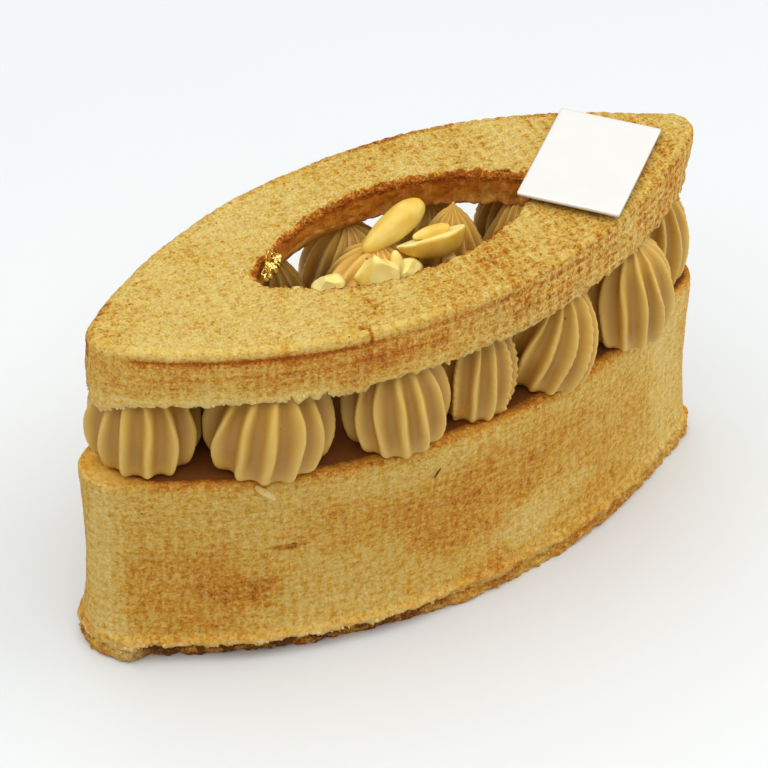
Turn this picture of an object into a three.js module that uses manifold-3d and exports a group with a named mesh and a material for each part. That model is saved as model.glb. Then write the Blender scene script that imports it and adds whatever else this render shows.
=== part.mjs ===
// A boat-shaped paris-brest: a tall baked choux base with a pointed-oval outline, a crowd of
// piped praline cream rosettes on top of it, and a slab of choux as the lid. The lid has a
// pointed-oval window, under which nuts lie on the cream, and a thin white chocolate plaque
// rests on the lid near one tip. Millimetres, +Z up, +X along the boat, origin under its middle.
import * as THREE from 'three';
import { mergeVertices } from 'three/addons/utils/BufferGeometryUtils.js';
import Module from 'manifold-3d';

const wasm = await Module();
wasm.setup();

// ---- Driving dimensions ----
const LID_LENGTH = 108; // tip to tip
const LID_WIDTH = 42.2; // across the middle
const TIP_RADIUS = 7.5; // rounding of the two tips, seen from above
const FULLNESS = 0.085; // how far the long sides swell past a plain arc, as a share of their depth

const BASE_LENGTH = 111;
const BASE_WIDTH = 41;
const BASE_HEIGHT = 35.9; // at the middle
const BASE_SLOPE = -0.021; // the base's top drops a little towards +X
const FOOT_FLARE = 2.4; // the foot spreads this much past the wall's long sides
const FOOT_FLARE_AT_TIPS = 0.5; // and this share of it past the tips
const FOOT_LEAN = 0.25; // the foot leans towards -X by this share of its flare

const LID_UNDERSIDE = 53.4; // height of the lid's lower edge, at the middle
const LID_UNDERSIDE_SLOPE = 0.016;
const LID_TOP = 64.1;
const LID_TOP_SLOPE = 0.012;
const UNDERSIDE_ARCH = 4.1; // the underside rises this much from the rim to the window

const WINDOW_LENGTH = 49;
const WINDOW_WIDTH = 20.8;
const WINDOW_TIP_RADIUS = 2.6;

const PLAQUE = { width: 16.8, length: 23.2, thickness: 0.7, corner: 0.5 };
const PLAQUE_PLACE = { x: 33.9, y: -2.3, turn: -0.858, lift: 0.95, tilt: 0.012 };

const RIDGE_TURN = 0.13; // each rosette's first ridge is turned this many turns past the last's
const LARGE_NUT = 5; // a nut with a longer half than this is made with finer faces
const NUT_TAPER = 0.22; // how much narrower a nut's far end is
const SPLIT_CROWN = 0.12; // height of a split nut's flat side, as a share of its round side
const CHUNK_LUMPS = 0.16; // how uneven a broken chunk is
const GAP = 0.3; // left between pieces that touch
const SIDE_STEPS = 20; // points along each long side of an outline
const TIP_STEPS = 6; // points round each tip

const RIDGES = 11; // ridges of a rosette, from the star nozzle
const GROOVE = 0.82; // radius in a groove, as a share of the radius on the crest

// ---- Rosettes: [name, x, y, radius, height, twist in turns] ----
// They stand in a ring round the rim and in a row along the middle, each a little different.
const ROSETTES = [
  ['rosette_01', -44.6, 0.4, 9.2, 19.0, 0.02],
  ['rosette_02', -28.0, -9.0, 10.3, 20.0, 0.05],
  ['rosette_03', -8.0, -14.2, 8.6, 20.0, -0.05],
  ['rosette_04', 6.4, -13.4, 7.2, 20.0, 0.02],
  ['rosette_05', 21.0, -12.8, 8.0, 20.0, 0.1],
  ['rosette_06', 37.4, -9.6, 7.7, 20.5, -0.04],
  ['rosette_07', 48.0, 0.8, 7.2, 20.0, 0.03],
  ['rosette_08', 38.8, 6.8, 6.0, 20.0, 0.04],
  ['rosette_09', 28.8, 11.4, 6.6, 20.0, -0.03],
  ['rosette_10', 13.6, 13.6, 7.4, 20.0, 0.04],
  ['rosette_11', -1.4, 13.6, 7.8, 21.0, 0.03],
  ['rosette_12', -15.6, 12.4, 5.8, 20.0, -0.04],
  ['rosette_13', -23.0, 11.4, 5.6, 19.0, 0.04],
  ['rosette_14', -30.8, 8.4, 7.2, 18.5, 0.05],
  ['rosette_15', -20.8, 0.8, 6.0, 14.6, 0.03],
  ['rosette_16', -2.6, 1.9, 9.2, 25.6, 0.06],
  ['rosette_17', 12.2, 3.3, 8.3, 26.7, 0.05],
  ['rosette_18', 24.8, 2.9, 7.4, 25.2, -0.05],
];
// How wide a rosette is at each share of its height: foot, belly, shoulder and drawn-out peak.
const ROSETTE_PROFILE = [
  [0, 0.87], [0.1, 0.97], [0.3, 1], [0.53, 0.92], [0.73, 0.73], [0.88, 0.43], [1, 0.07],
];

// ---- Nuts: centre, half sizes along, across and up, then turns about Z, Y and X ----
const NUTS = [
  { name: 'nut_01', kind: 'whole', at: [1.05, 3.05, 61.7], half: [6.62, 2.45, 2.2], turn: [-2.87, 0.2, 0] },
  { name: 'nut_02', kind: 'split', at: [5.7, -1.45, 60.1], half: [5.97, 2.3, 2.2], turn: [3.02, 0.08, 0.52] },
  { name: 'nut_03', kind: 'split', at: [5.9, -0.65, 61.45], half: [3.15, 1.1, 0.9], turn: [3, 0.11, -0.35] },
  { name: 'nut_04', kind: 'chunk', at: [-4.8, -2.8, 58.6], half: [3.3, 2.7, 3.3], turn: [-0.46, 0.03, 0] },
  { name: 'nut_05', kind: 'chunk', at: [-1.2, -2.6, 59.05], half: [2.33, 0.95, 0.95], turn: [-1.48, 1.08, 0] },
  { name: 'nut_06', kind: 'chunk', at: [0.5, -3.15, 57.8], half: [1.81, 1.6, 1.8], turn: [-0.08, 0, 0.17] },
  { name: 'nut_07', kind: 'chunk', at: [8.45, -2.3, 55.6], half: [1.28, 1.35, 1.5], turn: [-2.98, 0.16, 0] },
  { name: 'nut_08', kind: 'chunk', at: [-12.8, -1.25, 58.4], half: [2.11, 1.9, 1.9], turn: [-0.31, -0.09, 0.35] },
];
// The middle rosette ends in a tail of cream, drawn out along the window.
const CREAM_TAIL = { kind: 'whole', at: [-8.5, -0.4, 57.2], half: [6.2, 2.7, 2.6], turn: [-2.94, 0.22, 0] };

// ---- Finishes ----
const finish = (color, roughness) => new THREE.MeshStandardMaterial({ color, roughness, metalness: 0 });
const CRUST = finish(0xd6ab5c, 0.85);
const CREAM = finish(0xb9935a, 0.5);
const NUT = finish(0xe8cc80, 0.45);
const CHOCOLATE = finish(0xf6f0e2, 0.3);

// ---- Heights of the three sloping planes ----
const baseTop = (x) => BASE_HEIGHT + BASE_SLOPE * x;
const lidUnderside = (x) => LID_UNDERSIDE + LID_UNDERSIDE_SLOPE * x;
const lidTop = (x) => LID_TOP + LID_TOP_SLOPE * x;

// A pointed oval seen from above, anticlockwise. Two swelling arcs are joined by round tips, and
// the whole line is then moved outwards by grow.
function pointedOval(length, width, tipRadius, grow) {
  const a = length / 2 - tipRadius;
  const b = width / 2 - tipRadius;
  const arcRadius = (a * a + b * b) / (2 * b);
  const reach = tipRadius + grow;
  const side = [];
  for (let i = 0; i < SIDE_STEPS; i += 1) {
    const x = a * Math.sin((Math.PI / 2) * ((2 * i) / (SIDE_STEPS - 1) - 1));
    const s = x / a;
    const arc = Math.sqrt(arcRadius * arcRadius - x * x) - (arcRadius - b);
    const swell = 1 + FULLNESS * (1 - s * s) * s * s;
    const arcSlope = -x / Math.sqrt(arcRadius * arcRadius - x * x);
    const swellSlope = (FULLNESS * (2 * s - 4 * s ** 3)) / a;
    const normal = new THREE.Vector2(-(arcSlope * swell + arc * swellSlope), 1).normalize();
    side.push(new THREE.Vector2(x, arc * swell).addScaledVector(normal, reach));
  }
  const tipAngle = Math.atan2(side[SIDE_STEPS - 1].y, side[SIDE_STEPS - 1].x - a);
  const front = side.map((p) => new THREE.Vector2(p.x, -p.y));
  const tip = [];
  for (let i = 1; i <= TIP_STEPS; i += 1) {
    const angle = tipAngle * ((2 * i) / (TIP_STEPS + 1) - 1);
    tip.push(new THREE.Vector2(a + reach * Math.cos(angle), reach * Math.sin(angle)));
  }
  const back = side.toReversed();
  const otherTip = tip.map((p) => new THREE.Vector2(-p.x, -p.y));
  return [...front, ...tip, ...back, ...otherTip];
}

// A skin over rings of equal count, each ring anticlockwise. The rings either close on each
// other, as round a picture frame, or the first and last are capped with a fan of triangles.
function skin(rings, closesOnItself) {
  const count = rings[0].length;
  const positions = rings.flat().flatMap((p) => [p.x, p.y, p.z]);
  const triangles = [];
  const last = closesOnItself ? rings.length : rings.length - 1;
  for (let i = 0; i < last; i += 1) {
    for (let j = 0; j < count; j += 1) {
      const a = i * count + j;
      const b = i * count + ((j + 1) % count);
      const c = ((i + 1) % rings.length) * count + ((j + 1) % count);
      const d = ((i + 1) % rings.length) * count + j;
      triangles.push(a, b, c, a, c, d);
    }
  }
  const cap = (ring, first, flip) => {
    const middle = ring.reduce((sum, p) => sum.add(p), new THREE.Vector3()).divideScalar(count);
    const hub = positions.length / 3;
    positions.push(middle.x, middle.y, middle.z);
    for (let j = 0; j < count; j += 1) {
      const a = first + j;
      const b = first + ((j + 1) % count);
      triangles.push(...(flip ? [hub, b, a] : [hub, a, b]));
    }
  };
  if (!closesOnItself) {
    cap(rings[0], 0, true);
    cap(rings[rings.length - 1], (rings.length - 1) * count, false);
  }
  const geometry = new THREE.BufferGeometry();
  geometry.setAttribute('position', new THREE.Float32BufferAttribute(positions, 3));
  geometry.setIndex(triangles);
  return geometry;
}

// ---- Between three.js geometry and manifold-3d solids ----
function toSolid(geometry) {
  const bare = geometry.clone();
  bare.deleteAttribute('normal');
  bare.deleteAttribute('uv');
  const merged = mergeVertices(bare, 1e-4);
  const vertProperties = new Float32Array(merged.attributes.position.array);
  const triVerts = new Uint32Array(merged.index.array);
  return new wasm.Manifold(new wasm.Mesh({ numProp: 3, vertProperties, triVerts }));
}

function toGeometry(solid) {
  const mesh = solid.getMesh();
  const geometry = new THREE.BufferGeometry();
  geometry.setAttribute('position', new THREE.BufferAttribute(mesh.vertProperties, 3));
  geometry.setIndex(new THREE.BufferAttribute(mesh.triVerts, 1));
  return geometry;
}

function named(name, geometry, material) {
  const mesh = new THREE.Mesh(geometry, material.clone());
  mesh.name = name;
  return mesh;
}

// ---- Base: a tall wall with a flared foot and a rounded rim ----
function base() {
  // [share of the height, outward growth of the outline]
  const wall = [
    [0, FOOT_FLARE], [0.045, 0.85 * FOOT_FLARE], [0.13, 0.45 * FOOT_FLARE], [0.28, 0.05],
    [0.5, -0.35], [0.75, -0.25], [0.94, 0], [0.985, -0.35], [1, -1.3],
  ];
  const rings = wall.map(([share, grow]) => {
    const heldBack = 2 * (1 - FOOT_FLARE_AT_TIPS) * Math.max(grow, 0);
    return pointedOval(BASE_LENGTH - heldBack, BASE_WIDTH, TIP_RADIUS, grow)
      .map((p) => new THREE.Vector3(p.x - FOOT_LEAN * Math.max(grow, 0), p.y, share * baseTop(p.x)));
  });
  return skin(rings, false);
}

// ---- Lid: a frame of choux round the window, with an arched underside ----
// clearance swells the slab, so that what lies against it can be cut back by that much.
function lid(clearance) {
  const raised = (outline, height) => outline.map((p) => new THREE.Vector3(p.x, p.y, height(p.x)));
  const outer = (grow, height) => {
    const outline = pointedOval(LID_LENGTH, LID_WIDTH, TIP_RADIUS, grow + clearance);
    return raised(outline, height);
  };
  const inner = (grow, height) => {
    const outline = pointedOval(WINDOW_LENGTH, WINDOW_WIDTH, WINDOW_TIP_RADIUS, grow - clearance);
    return raised(outline, height);
  };
  const under = (x) => lidUnderside(x) - clearance;
  const top = (x) => lidTop(x) + clearance;
  const between = (share) => (x) => under(x) + share * (top(x) - under(x));
  return skin([
    outer(-0.6, under),
    outer(0, between(0.08)),
    outer(0.3, between(0.45)),
    outer(0.1, between(0.84)),
    outer(-0.5, between(0.95)),
    outer(-1.7, top),
    inner(0.9, top),
    inner(0, between(0.93)),
    inner(0.1, (x) => under(x) + UNDERSIDE_ARCH),
  ], true);
}

// ---- Rosette: ridged rings stacked from foot to peak, slowly turning ----
// Where a neighbour presses against it, the rosette is flat, on the plane between the two.
function rosette(which) {
  const [, x, y, radius, height, twist] = ROSETTES[which];
  const here = new THREE.Vector2(x, y);
  const walls = ROSETTES.filter((other, i) => i !== which).map(([, ox, oy, otherRadius]) => {
    const towards = new THREE.Vector2(ox, oy).sub(here);
    const apart = towards.length();
    const reach = (apart * apart + radius ** 2 - otherRadius ** 2) / (2 * apart) - GAP / 2;
    return { direction: towards.divideScalar(apart), reach };
  });
  const squeeze = (p) => {
    let share = 1;
    for (const wall of walls) {
      const past = p.dot(wall.direction);
      if (past > wall.reach) share = Math.min(share, wall.reach / past);
    }
    return p.multiplyScalar(share);
  };
  const rings = ROSETTE_PROFILE.map(([share, width]) => {
    const ring = [];
    for (let i = 0; i < 2 * RIDGES; i += 1) {
      const angle = 2 * Math.PI * (i / (2 * RIDGES) + twist * share + RIDGE_TURN * which);
      const r = radius * width * (i % 2 ? GROOVE : 1);
      const p = squeeze(new THREE.Vector2(r * Math.cos(angle), r * Math.sin(angle))).add(here);
      ring.push(new THREE.Vector3(p.x, p.y, baseTop(p.x) + GAP + share * height));
    }
    return ring;
  });
  return skin(rings, false);
}

// ---- Nuts ----
// A whole blanched nut is an egg, a split one is an egg with its upper half pressed flat, and a
// chunk is an egg with broken, uneven faces. clearance swells it for cutting its neighbours.
function nut({ kind, at, half, turn }, clearance) {
  const geometry = new THREE.IcosahedronGeometry(1, half[0] > LARGE_NUT ? 2 : 1);
  const position = geometry.attributes.position;
  const reach = new THREE.Vector3(...half).addScalar(clearance);
  const p = new THREE.Vector3();
  for (let i = 0; i < position.count; i += 1) {
    p.fromBufferAttribute(position, i);
    if (kind === 'chunk') {
      const lump = Math.sin(3.7 * p.x + at[0]) * Math.cos(4.3 * p.y + at[1]);
      p.multiplyScalar(1 + CHUNK_LUMPS * lump);
    } else {
      p.y *= 1 - NUT_TAPER * p.x;
    }
    if (kind === 'split' && p.z > 0) p.z *= SPLIT_CROWN;
    p.multiply(reach);
    position.setXYZ(i, p.x, p.y, p.z);
  }
  const [aboutZ, aboutY, aboutX] = turn;
  const turned = new THREE.Euler(aboutX, aboutY, aboutZ, 'ZYX');
  geometry.applyMatrix4(new THREE.Matrix4().makeRotationFromEuler(turned));
  geometry.translate(...at);
  return geometry;
}

// ---- Plaque: a thin rectangle with eased corners, lying on the lid ----
function plaque() {
  const { width, length, thickness, corner } = PLAQUE;
  const [w, l] = [width / 2, length / 2];
  const shape = new THREE.Shape();
  shape.absarc(w - corner, l - corner, corner, 0, Math.PI / 2);
  shape.absarc(corner - w, l - corner, corner, Math.PI / 2, Math.PI);
  shape.absarc(corner - w, corner - l, corner, Math.PI, 1.5 * Math.PI);
  shape.absarc(w - corner, corner - l, corner, 1.5 * Math.PI, 2 * Math.PI);
  return new THREE.ExtrudeGeometry(shape, { depth: thickness, bevelEnabled: false, curveSegments: 4 });
}

// ---- Assembly ----
const parisBrest = new THREE.Group();
parisBrest.add(named('base', base(), CRUST));
parisBrest.add(named('lid', lid(0), CRUST));

// Each nut is cut back from the lid and from the nuts before it.
const pressing = [toSolid(lid(GAP))];
for (const spec of NUTS) {
  let solid = toSolid(nut(spec, 0));
  for (const other of pressing) solid = solid.subtract(other);
  parisBrest.add(named(spec.name, toGeometry(solid), NUT));
  pressing.push(toSolid(nut(spec, GAP)));
}

// The tail is cut back from the nuts that are pressed into it.
let tailSolid = toSolid(nut(CREAM_TAIL, 0));
for (const other of pressing) tailSolid = tailSolid.subtract(other);
parisBrest.add(named('cream_tail', toGeometry(tailSolid), CREAM));
pressing.push(toSolid(nut(CREAM_TAIL, GAP)));

// The cream gives way to the lid, to the tail and to the nuts that are pressed into it.
ROSETTES.forEach(([name], which) => {
  let solid = toSolid(rosette(which));
  for (const other of pressing) solid = solid.subtract(other);
  parisBrest.add(named(name, toGeometry(solid), CREAM));
});

const plaqueMesh = named('plaque', plaque(), CHOCOLATE);
plaqueMesh.position.set(PLAQUE_PLACE.x, PLAQUE_PLACE.y, lidTop(PLAQUE_PLACE.x) + PLAQUE_PLACE.lift);
plaqueMesh.rotation.set(-PLAQUE_PLACE.tilt, -LID_TOP_SLOPE, PLAQUE_PLACE.turn, 'XYZ');
parisBrest.add(plaqueMesh);

export default parisBrest;
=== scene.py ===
# %% [markdown]
# # A boat-shaped paris-brest
# A tall boat of baked choux carries a crowd of piped praline cream rosettes. A second slab of
# choux lies on them as the lid. Through its pointed window one sees the cream and some nuts, and
# a thin white chocolate plaque rests near one tip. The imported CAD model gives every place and
# size. This lesson builds the baked, piped and broken surfaces around it.

import itertools
import math

import bmesh
import bpy
import numpy as np
from mathutils import Matrix, Vector
from mathutils.bvhtree import BVHTree


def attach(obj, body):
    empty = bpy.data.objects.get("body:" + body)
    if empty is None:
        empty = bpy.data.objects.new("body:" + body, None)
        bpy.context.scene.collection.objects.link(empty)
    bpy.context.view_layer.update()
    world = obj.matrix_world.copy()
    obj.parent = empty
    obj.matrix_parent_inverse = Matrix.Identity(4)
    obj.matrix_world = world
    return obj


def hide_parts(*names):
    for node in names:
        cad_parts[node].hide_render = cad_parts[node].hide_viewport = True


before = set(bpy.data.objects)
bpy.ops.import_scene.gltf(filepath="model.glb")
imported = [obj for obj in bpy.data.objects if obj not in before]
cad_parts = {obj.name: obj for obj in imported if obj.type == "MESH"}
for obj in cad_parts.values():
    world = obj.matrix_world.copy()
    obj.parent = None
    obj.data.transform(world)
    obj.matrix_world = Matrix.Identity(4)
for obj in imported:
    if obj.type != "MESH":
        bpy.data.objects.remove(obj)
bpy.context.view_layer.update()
MM = 0.001
scene = bpy.context.scene
print("CAD nodes:", len(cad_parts))

# %% [markdown]
# ## Camera
# Product pictures of small food are taken from far away with a long lens, so that the two tips
# keep their true proportion. The camera stands 61 cm away, looks down at 42 degrees, and leans by
# less than a degree. A camera looks along its own -Z, so that axis is turned towards the cake.

# %% Place the camera
CAMERA_AT = Vector((-226.53, -390.18, 436.96)) * MM
LOOKS_AT = Vector((0.64, 4.43, 27.54)) * MM
LENS_MM = 175.58
LEAN = math.radians(0.75)

camera_data = bpy.data.cameras.new("camera")
camera_data.lens = LENS_MM
camera_data.sensor_width = 36.0
camera_data.clip_start = 0.01
camera = bpy.data.objects.new("camera", camera_data)
scene.collection.objects.link(camera)
aim = (LOOKS_AT - CAMERA_AT).to_track_quat("-Z", "Y").to_matrix().to_4x4()
camera.matrix_world = Matrix.Translation(CAMERA_AT) @ aim @ Matrix.Rotation(LEAN, 4, "Z")
scene.camera = camera
print("camera at", [round(v, 3) for v in CAMERA_AT])

# %% [markdown]
# ## Floor and light
# The cake stands on a white sheet. Most of the light comes from one large softbox overhead, which
# leaves a soft shadow round the foot. A weak light from the right front lifts that end of the
# wall, and the world adds a faint even fill. The Standard view keeps the colours as they are,
# where a film-like view would grey them.

# %% Light the set
ROOM = 0.10
SOFTBOX_SIZE = 1.30
SOFTBOX_AT = Vector((-0.08, -0.04, 0.80))
SOFTBOX_POWER = 12.2
SIDE_LIGHT_SIZE = 0.45
SIDE_LIGHT_AT = Vector((0.85, -0.28, 0.34))
SIDE_LIGHT_POWER = 2.5

scene.view_settings.view_transform = "Standard"
world = bpy.data.worlds.new("room")
scene.world = world
world.use_nodes = True
world.node_tree.nodes["Background"].inputs["Color"].default_value = (1.0, 1.0, 1.0, 1.0)
world.node_tree.nodes["Background"].inputs["Strength"].default_value = ROOM


def area_light(name, size, power, at):
    """A square light turned towards the cake."""
    data = bpy.data.lights.new(name, "AREA")
    data.size = size
    data.energy = power
    lamp = bpy.data.objects.new(name, data)
    scene.collection.objects.link(lamp)
    lamp.location = at
    lamp.rotation_euler = (Vector((0, 0, 0.03)) - at).to_track_quat("-Z", "Y").to_euler()


area_light("softbox", SOFTBOX_SIZE, SOFTBOX_POWER, SOFTBOX_AT)
area_light("side_light", SIDE_LIGHT_SIZE, SIDE_LIGHT_POWER, SIDE_LIGHT_AT)
print("softbox", SOFTBOX_SIZE, "m wide, side light", SIDE_LIGHT_SIZE, "m wide")

# %% [markdown]
# ## Sums written with nodes
# A node tree adds and multiplies with Math nodes, which soon takes a page. `Field` wraps a socket,
# so that an ordinary sum in the script makes the nodes. It serves materials and Geometry Nodes.


# %% A socket that can be added and multiplied
class Field:
    """One socket of a node tree; each sum makes the node that works it out."""

    def __init__(self, tree, socket):
        self.tree = tree
        self.socket = socket

    def math(self, operation, *others):
        node = self.tree.nodes.new("ShaderNodeMath")
        node.operation = operation
        for place, value in zip(node.inputs, (self, *others)):
            if isinstance(value, Field):
                self.tree.links.new(value.socket, place)
            else:
                place.default_value = value
        return Field(self.tree, node.outputs[0])

    def __add__(self, other):
        return self.math("ADD", other)

    def __sub__(self, other):
        return self.math("SUBTRACT", other)

    def __rsub__(self, other):
        return self.math("MULTIPLY_ADD", -1.0, other)

    def __mul__(self, other):
        return self.math("MULTIPLY", other)

    def __truediv__(self, other):
        return self.math("DIVIDE", other)

    def __pow__(self, other):
        return self.math("POWER", other)

    def sin(self):
        return self.math("SINE")

    def cos(self):
        return self.math("COSINE")

    def abs(self):
        return self.math("ABSOLUTE")

    def floor(self):
        return self.math("FLOOR")

    def between(self, low, high, start=0.0, end=1.0):
        """start where the field is low, end where it is high, smooth in between."""
        node = self.tree.nodes.new("ShaderNodeMapRange")
        node.interpolation_type = "SMOOTHSTEP"
        for name, value in (("From Min", low), ("From Max", high), ("To Min", start), ("To Max", end)):
            node.inputs[name].default_value = value
        self.tree.links.new(self.socket, node.inputs["Value"])
        return Field(self.tree, node.outputs["Result"])

    __radd__ = __add__
    __rmul__ = __mul__


def link(tree, value, socket):
    """Joins a field or a socket to an input, or sets a plain value."""
    if isinstance(value, Field):
        value = value.socket
    if isinstance(value, bpy.types.NodeSocket):
        tree.links.new(value, socket)
    else:
        socket.default_value = value


# %% [markdown]
# ## Random lumps that never change
# Baked dough is uneven at every scale. `lumps` gives smooth random heights at points in space. It
# hashes whole numbers, so it gives the same dough each time the lesson is run.


# %% Smooth random lumps
# large odd numbers that stir the place of a cell into a number that looks random
STIR = np.array((374761393, 668265263, 1274126177))
STIR_AGAIN = 1103515245
SEED_SHIFT, SEED_STIR = 31.7, 97
LOW_BITS = 0xFFFF


def lumps(points, size, seed=0):
    """Smooth values from -1 to 1 at points in mm, with lumps of about that size."""
    at = np.asarray(points, float) / size + SEED_SHIFT * seed
    cell = np.floor(at).astype(np.int64)
    part = at - cell
    part = part * part * (3 - 2 * part)
    total = np.zeros(len(at))
    for corner in itertools.product((0, 1), repeat=3):
        mixed = (cell + corner) @ STIR + SEED_STIR * seed
        mixed = (mixed ^ (mixed >> 13)) * STIR_AGAIN
        mixed = (mixed ^ (mixed >> 16)) & LOW_BITS
        weight = np.prod(np.where(corner, part, 1 - part), axis=1)
        total += weight * (mixed / (LOW_BITS / 2) - 1)
    return total


def along(values, size, seed=0):
    """The same lumps for positions along a line."""
    values = np.asarray(values, float)
    return lumps(np.stack([values, np.zeros_like(values), np.zeros_like(values)], 1), size, seed)


def ramp_up(value, low, high):
    """0 below low, 1 above high, smooth in between."""
    t = np.clip((np.asarray(value, float) - low) / (high - low), 0, 1)
    return t * t * (3 - 2 * t)


def bump_at(value, centre, width):
    """A soft hill of height 1 round a place along a line."""
    return np.exp(-(((np.asarray(value, float) - centre) / width) ** 2))


print("lumps at three points:", lumps([[0, 0, 0], [1, 2, 3], [4, 5, 6]], 2).round(3))

# %% [markdown]
# ## The boat's outline
# Base, lid and window share one outline: two swelling arcs joined by round tips. It is drawn here
# as evenly spaced points with the direction that points outwards at each, so that a ring can be
# grown or shrunk by any amount without losing its even spacing. Distances are in millimetres.

# %% Draw a pointed oval
# a slope is the rise in mm for each mm along X; the arch is the rise of the lid's underside
FULLNESS = 0.085
BASE_LENGTH, BASE_WIDTH, BASE_TIP = 111.0, 41.0, 5.4
BASE_HEIGHT, BASE_SLOPE = 35.9, -0.021
LID_LENGTH, LID_WIDTH, LID_TIP = 108.0, 42.2, 4.2
UNDERSIDE, UNDERSIDE_SLOPE, ARCH = 53.4, 0.016, 4.1
LID_TOP, LID_TOP_SLOPE = 64.1, 0.012
WINDOW_LENGTH, WINDOW_WIDTH, WINDOW_TIP = 49.0, 20.8, 2.6
ARC_POINTS, TIP_POINTS = 1600, 401


def pointed_oval(length, width, tip_radius, count):
    """Points, outward directions and distance along the line, anticlockwise from the -X tip."""
    a, b = length / 2 - tip_radius, width / 2 - tip_radius
    arc_radius = (a * a + b * b) / (2 * b)
    x = a * np.sin(np.pi / 2 * np.linspace(-1, 1, ARC_POINTS))
    s = x / a
    drop = np.sqrt(arc_radius**2 - x * x)
    arc = drop - (arc_radius - b)
    swell = 1 + FULLNESS * (1 - s * s) * s * s
    slope = -x / drop * swell + arc * FULLNESS * (2 * s - 4 * s**3) / a
    out = np.stack([-slope, np.ones_like(x)], 1)
    out /= np.linalg.norm(out, axis=1)[:, None]
    heart = np.stack([x, arc * swell], 1)
    tip_angle = math.atan2(out[-1, 1], out[-1, 0])
    turn = np.linspace(-tip_angle, tip_angle, TIP_POINTS + 2)[1:-1]
    tip_out = np.stack([np.cos(turn), np.sin(turn)], 1)
    tip_heart = np.tile([a, 0.0], (TIP_POINTS, 1))
    front = np.array([1, -1])
    hearts = np.vstack([heart * front, tip_heart, heart[::-1], -tip_heart])
    outs = np.vstack([out * front, tip_out, out[::-1], -tip_out])
    half_tip = TIP_POINTS // 2 + 1
    hearts, outs = np.roll(hearts, half_tip, 0), np.roll(outs, half_tip, 0)
    points = hearts + outs * tip_radius
    closed = np.vstack([points, points[:1]])
    distance = np.r_[0, np.cumsum(np.linalg.norm(np.diff(closed, axis=0), axis=1))]
    wanted = np.arange(count) / count * distance[-1]
    even = [np.interp(wanted, distance, np.r_[c, c[:1]]) for c in (*points.T, *outs.T)]
    out = np.stack(even[2:], 1)
    return np.stack(even[:2], 1), out / np.linalg.norm(out, axis=1)[:, None], wanted


def base_top(x):
    """Height of the base's top at a place along X, in mm."""
    return BASE_HEIGHT + BASE_SLOPE * x


def lid_under(x):
    """Height of the lid's lower edge."""
    return UNDERSIDE + UNDERSIDE_SLOPE * x


def lid_top(x):
    """Height of the lid's top."""
    return LID_TOP + LID_TOP_SLOPE * x


# %% [markdown]
# ## From rings to a mesh
# A skin of rings is the simplest way to a dense, even mesh. Each corner also remembers numbers
# that the finish needs later: its place on the baking mat, how browned it is, and how torn.

# %% Rings to mesh
JOIN_DISTANCE, SLIVER_EDGE = 5e-6, 1e-6


def skin_of_rings(name, rings, marks, closes=False, mat=None, mat_round=0.0):
    """rings: (levels, count, 3) in mm. marks: {name: (levels, count)}. mat: (levels, count, 3),
    the place on the baking mat, which is kept per face corner so that it can jump where the ring
    closes; mat_round is the length that it has gained by then."""
    rings = np.asarray(rings, float)
    levels, count = rings.shape[:2]
    spans = levels if closes else levels - 1
    i, j = np.meshgrid(np.arange(spans), np.arange(count), indexing="ij")
    after = (j + 1) % count
    above = (i + 1) % levels
    quads = np.stack([i * count + j, i * count + after, above * count + after, above * count + j], -1)
    mesh = bpy.data.meshes.new(name)
    mesh.from_pydata((rings.reshape(-1, 3) * MM).tolist(), [], quads.reshape(-1, 4).tolist())
    for mark, values in marks.items():
        attribute = mesh.attributes.new(mark, "FLOAT", "POINT")
        attribute.data.foreach_set("value", np.asarray(values, np.float32).ravel())
    if mat is not None:
        at_corner = np.asarray(mat, np.float32).reshape(-1, 3)[quads]
        for this, following in ((0, 1), (3, 2)):
            fell_back = at_corner[..., this, 0] - at_corner[..., following, 0] > mat_round / 2
            on_seam = (quads[..., following] < quads[..., this]) & fell_back
            at_corner[on_seam, following, 0] += mat_round
        attribute = mesh.attributes.new("mat", "FLOAT_VECTOR", "CORNER")
        attribute.data.foreach_set("vector", at_corner.ravel())
    mesh.update()
    piece = bpy.data.objects.new(name, mesh)
    scene.collection.objects.link(piece)
    return piece


def close_and_smooth(piece, join=True):
    """Joins corners that fell together, turns all faces outwards and shades the piece smooth."""
    work = bmesh.new()
    work.from_mesh(piece.data)
    if join:
        bmesh.ops.remove_doubles(work, verts=work.verts, dist=JOIN_DISTANCE)
        bmesh.ops.dissolve_degenerate(work, edges=work.edges, dist=SLIVER_EDGE)
    bmesh.ops.recalc_face_normals(work, faces=work.faces)
    open_edges = sum(1 for e in work.edges if not e.is_manifold)
    work.to_mesh(piece.data)
    work.free()
    piece.data.polygons.foreach_set("use_smooth", [True] * len(piece.data.polygons))
    piece.data.update()
    print(piece.name, "faces", len(piece.data.polygons), "open edges", open_edges)


def corners_of(piece):
    """The mesh's corners in mm."""
    flat = np.zeros(3 * len(piece.data.vertices), np.float32)
    piece.data.vertices.foreach_get("co", flat)
    return flat.reshape(-1, 3).astype(float) / MM


def set_corners(piece, points):
    """Moves the mesh's corners to points in mm."""
    piece.data.vertices.foreach_set("co", (points * MM).astype(np.float32).ravel())
    piece.data.update()


def finish_piece(piece, material, body, nodes=()):
    """The last steps of each piece: its finish, the body it rides on, and hiding the CAD parts that it takes
    the place of.
    """
    piece.data.materials.clear()
    piece.data.materials.append(material)
    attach(piece, body)
    if nodes:
        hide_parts(*nodes)


# %% [markdown]
# ## Help for node trees
# A Geometry Nodes tree is made here with its named inputs, and ends in a mesh with its finish.
# `grow` puts a tree on a piece, sets the inputs by their identifiers, and turns the result into a
# plain mesh.


# %% Node tree helpers
FLOAT, WHOLE, FINISH = "NodeSocketFloat", "NodeSocketInt", "NodeSocketMaterial"


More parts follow.
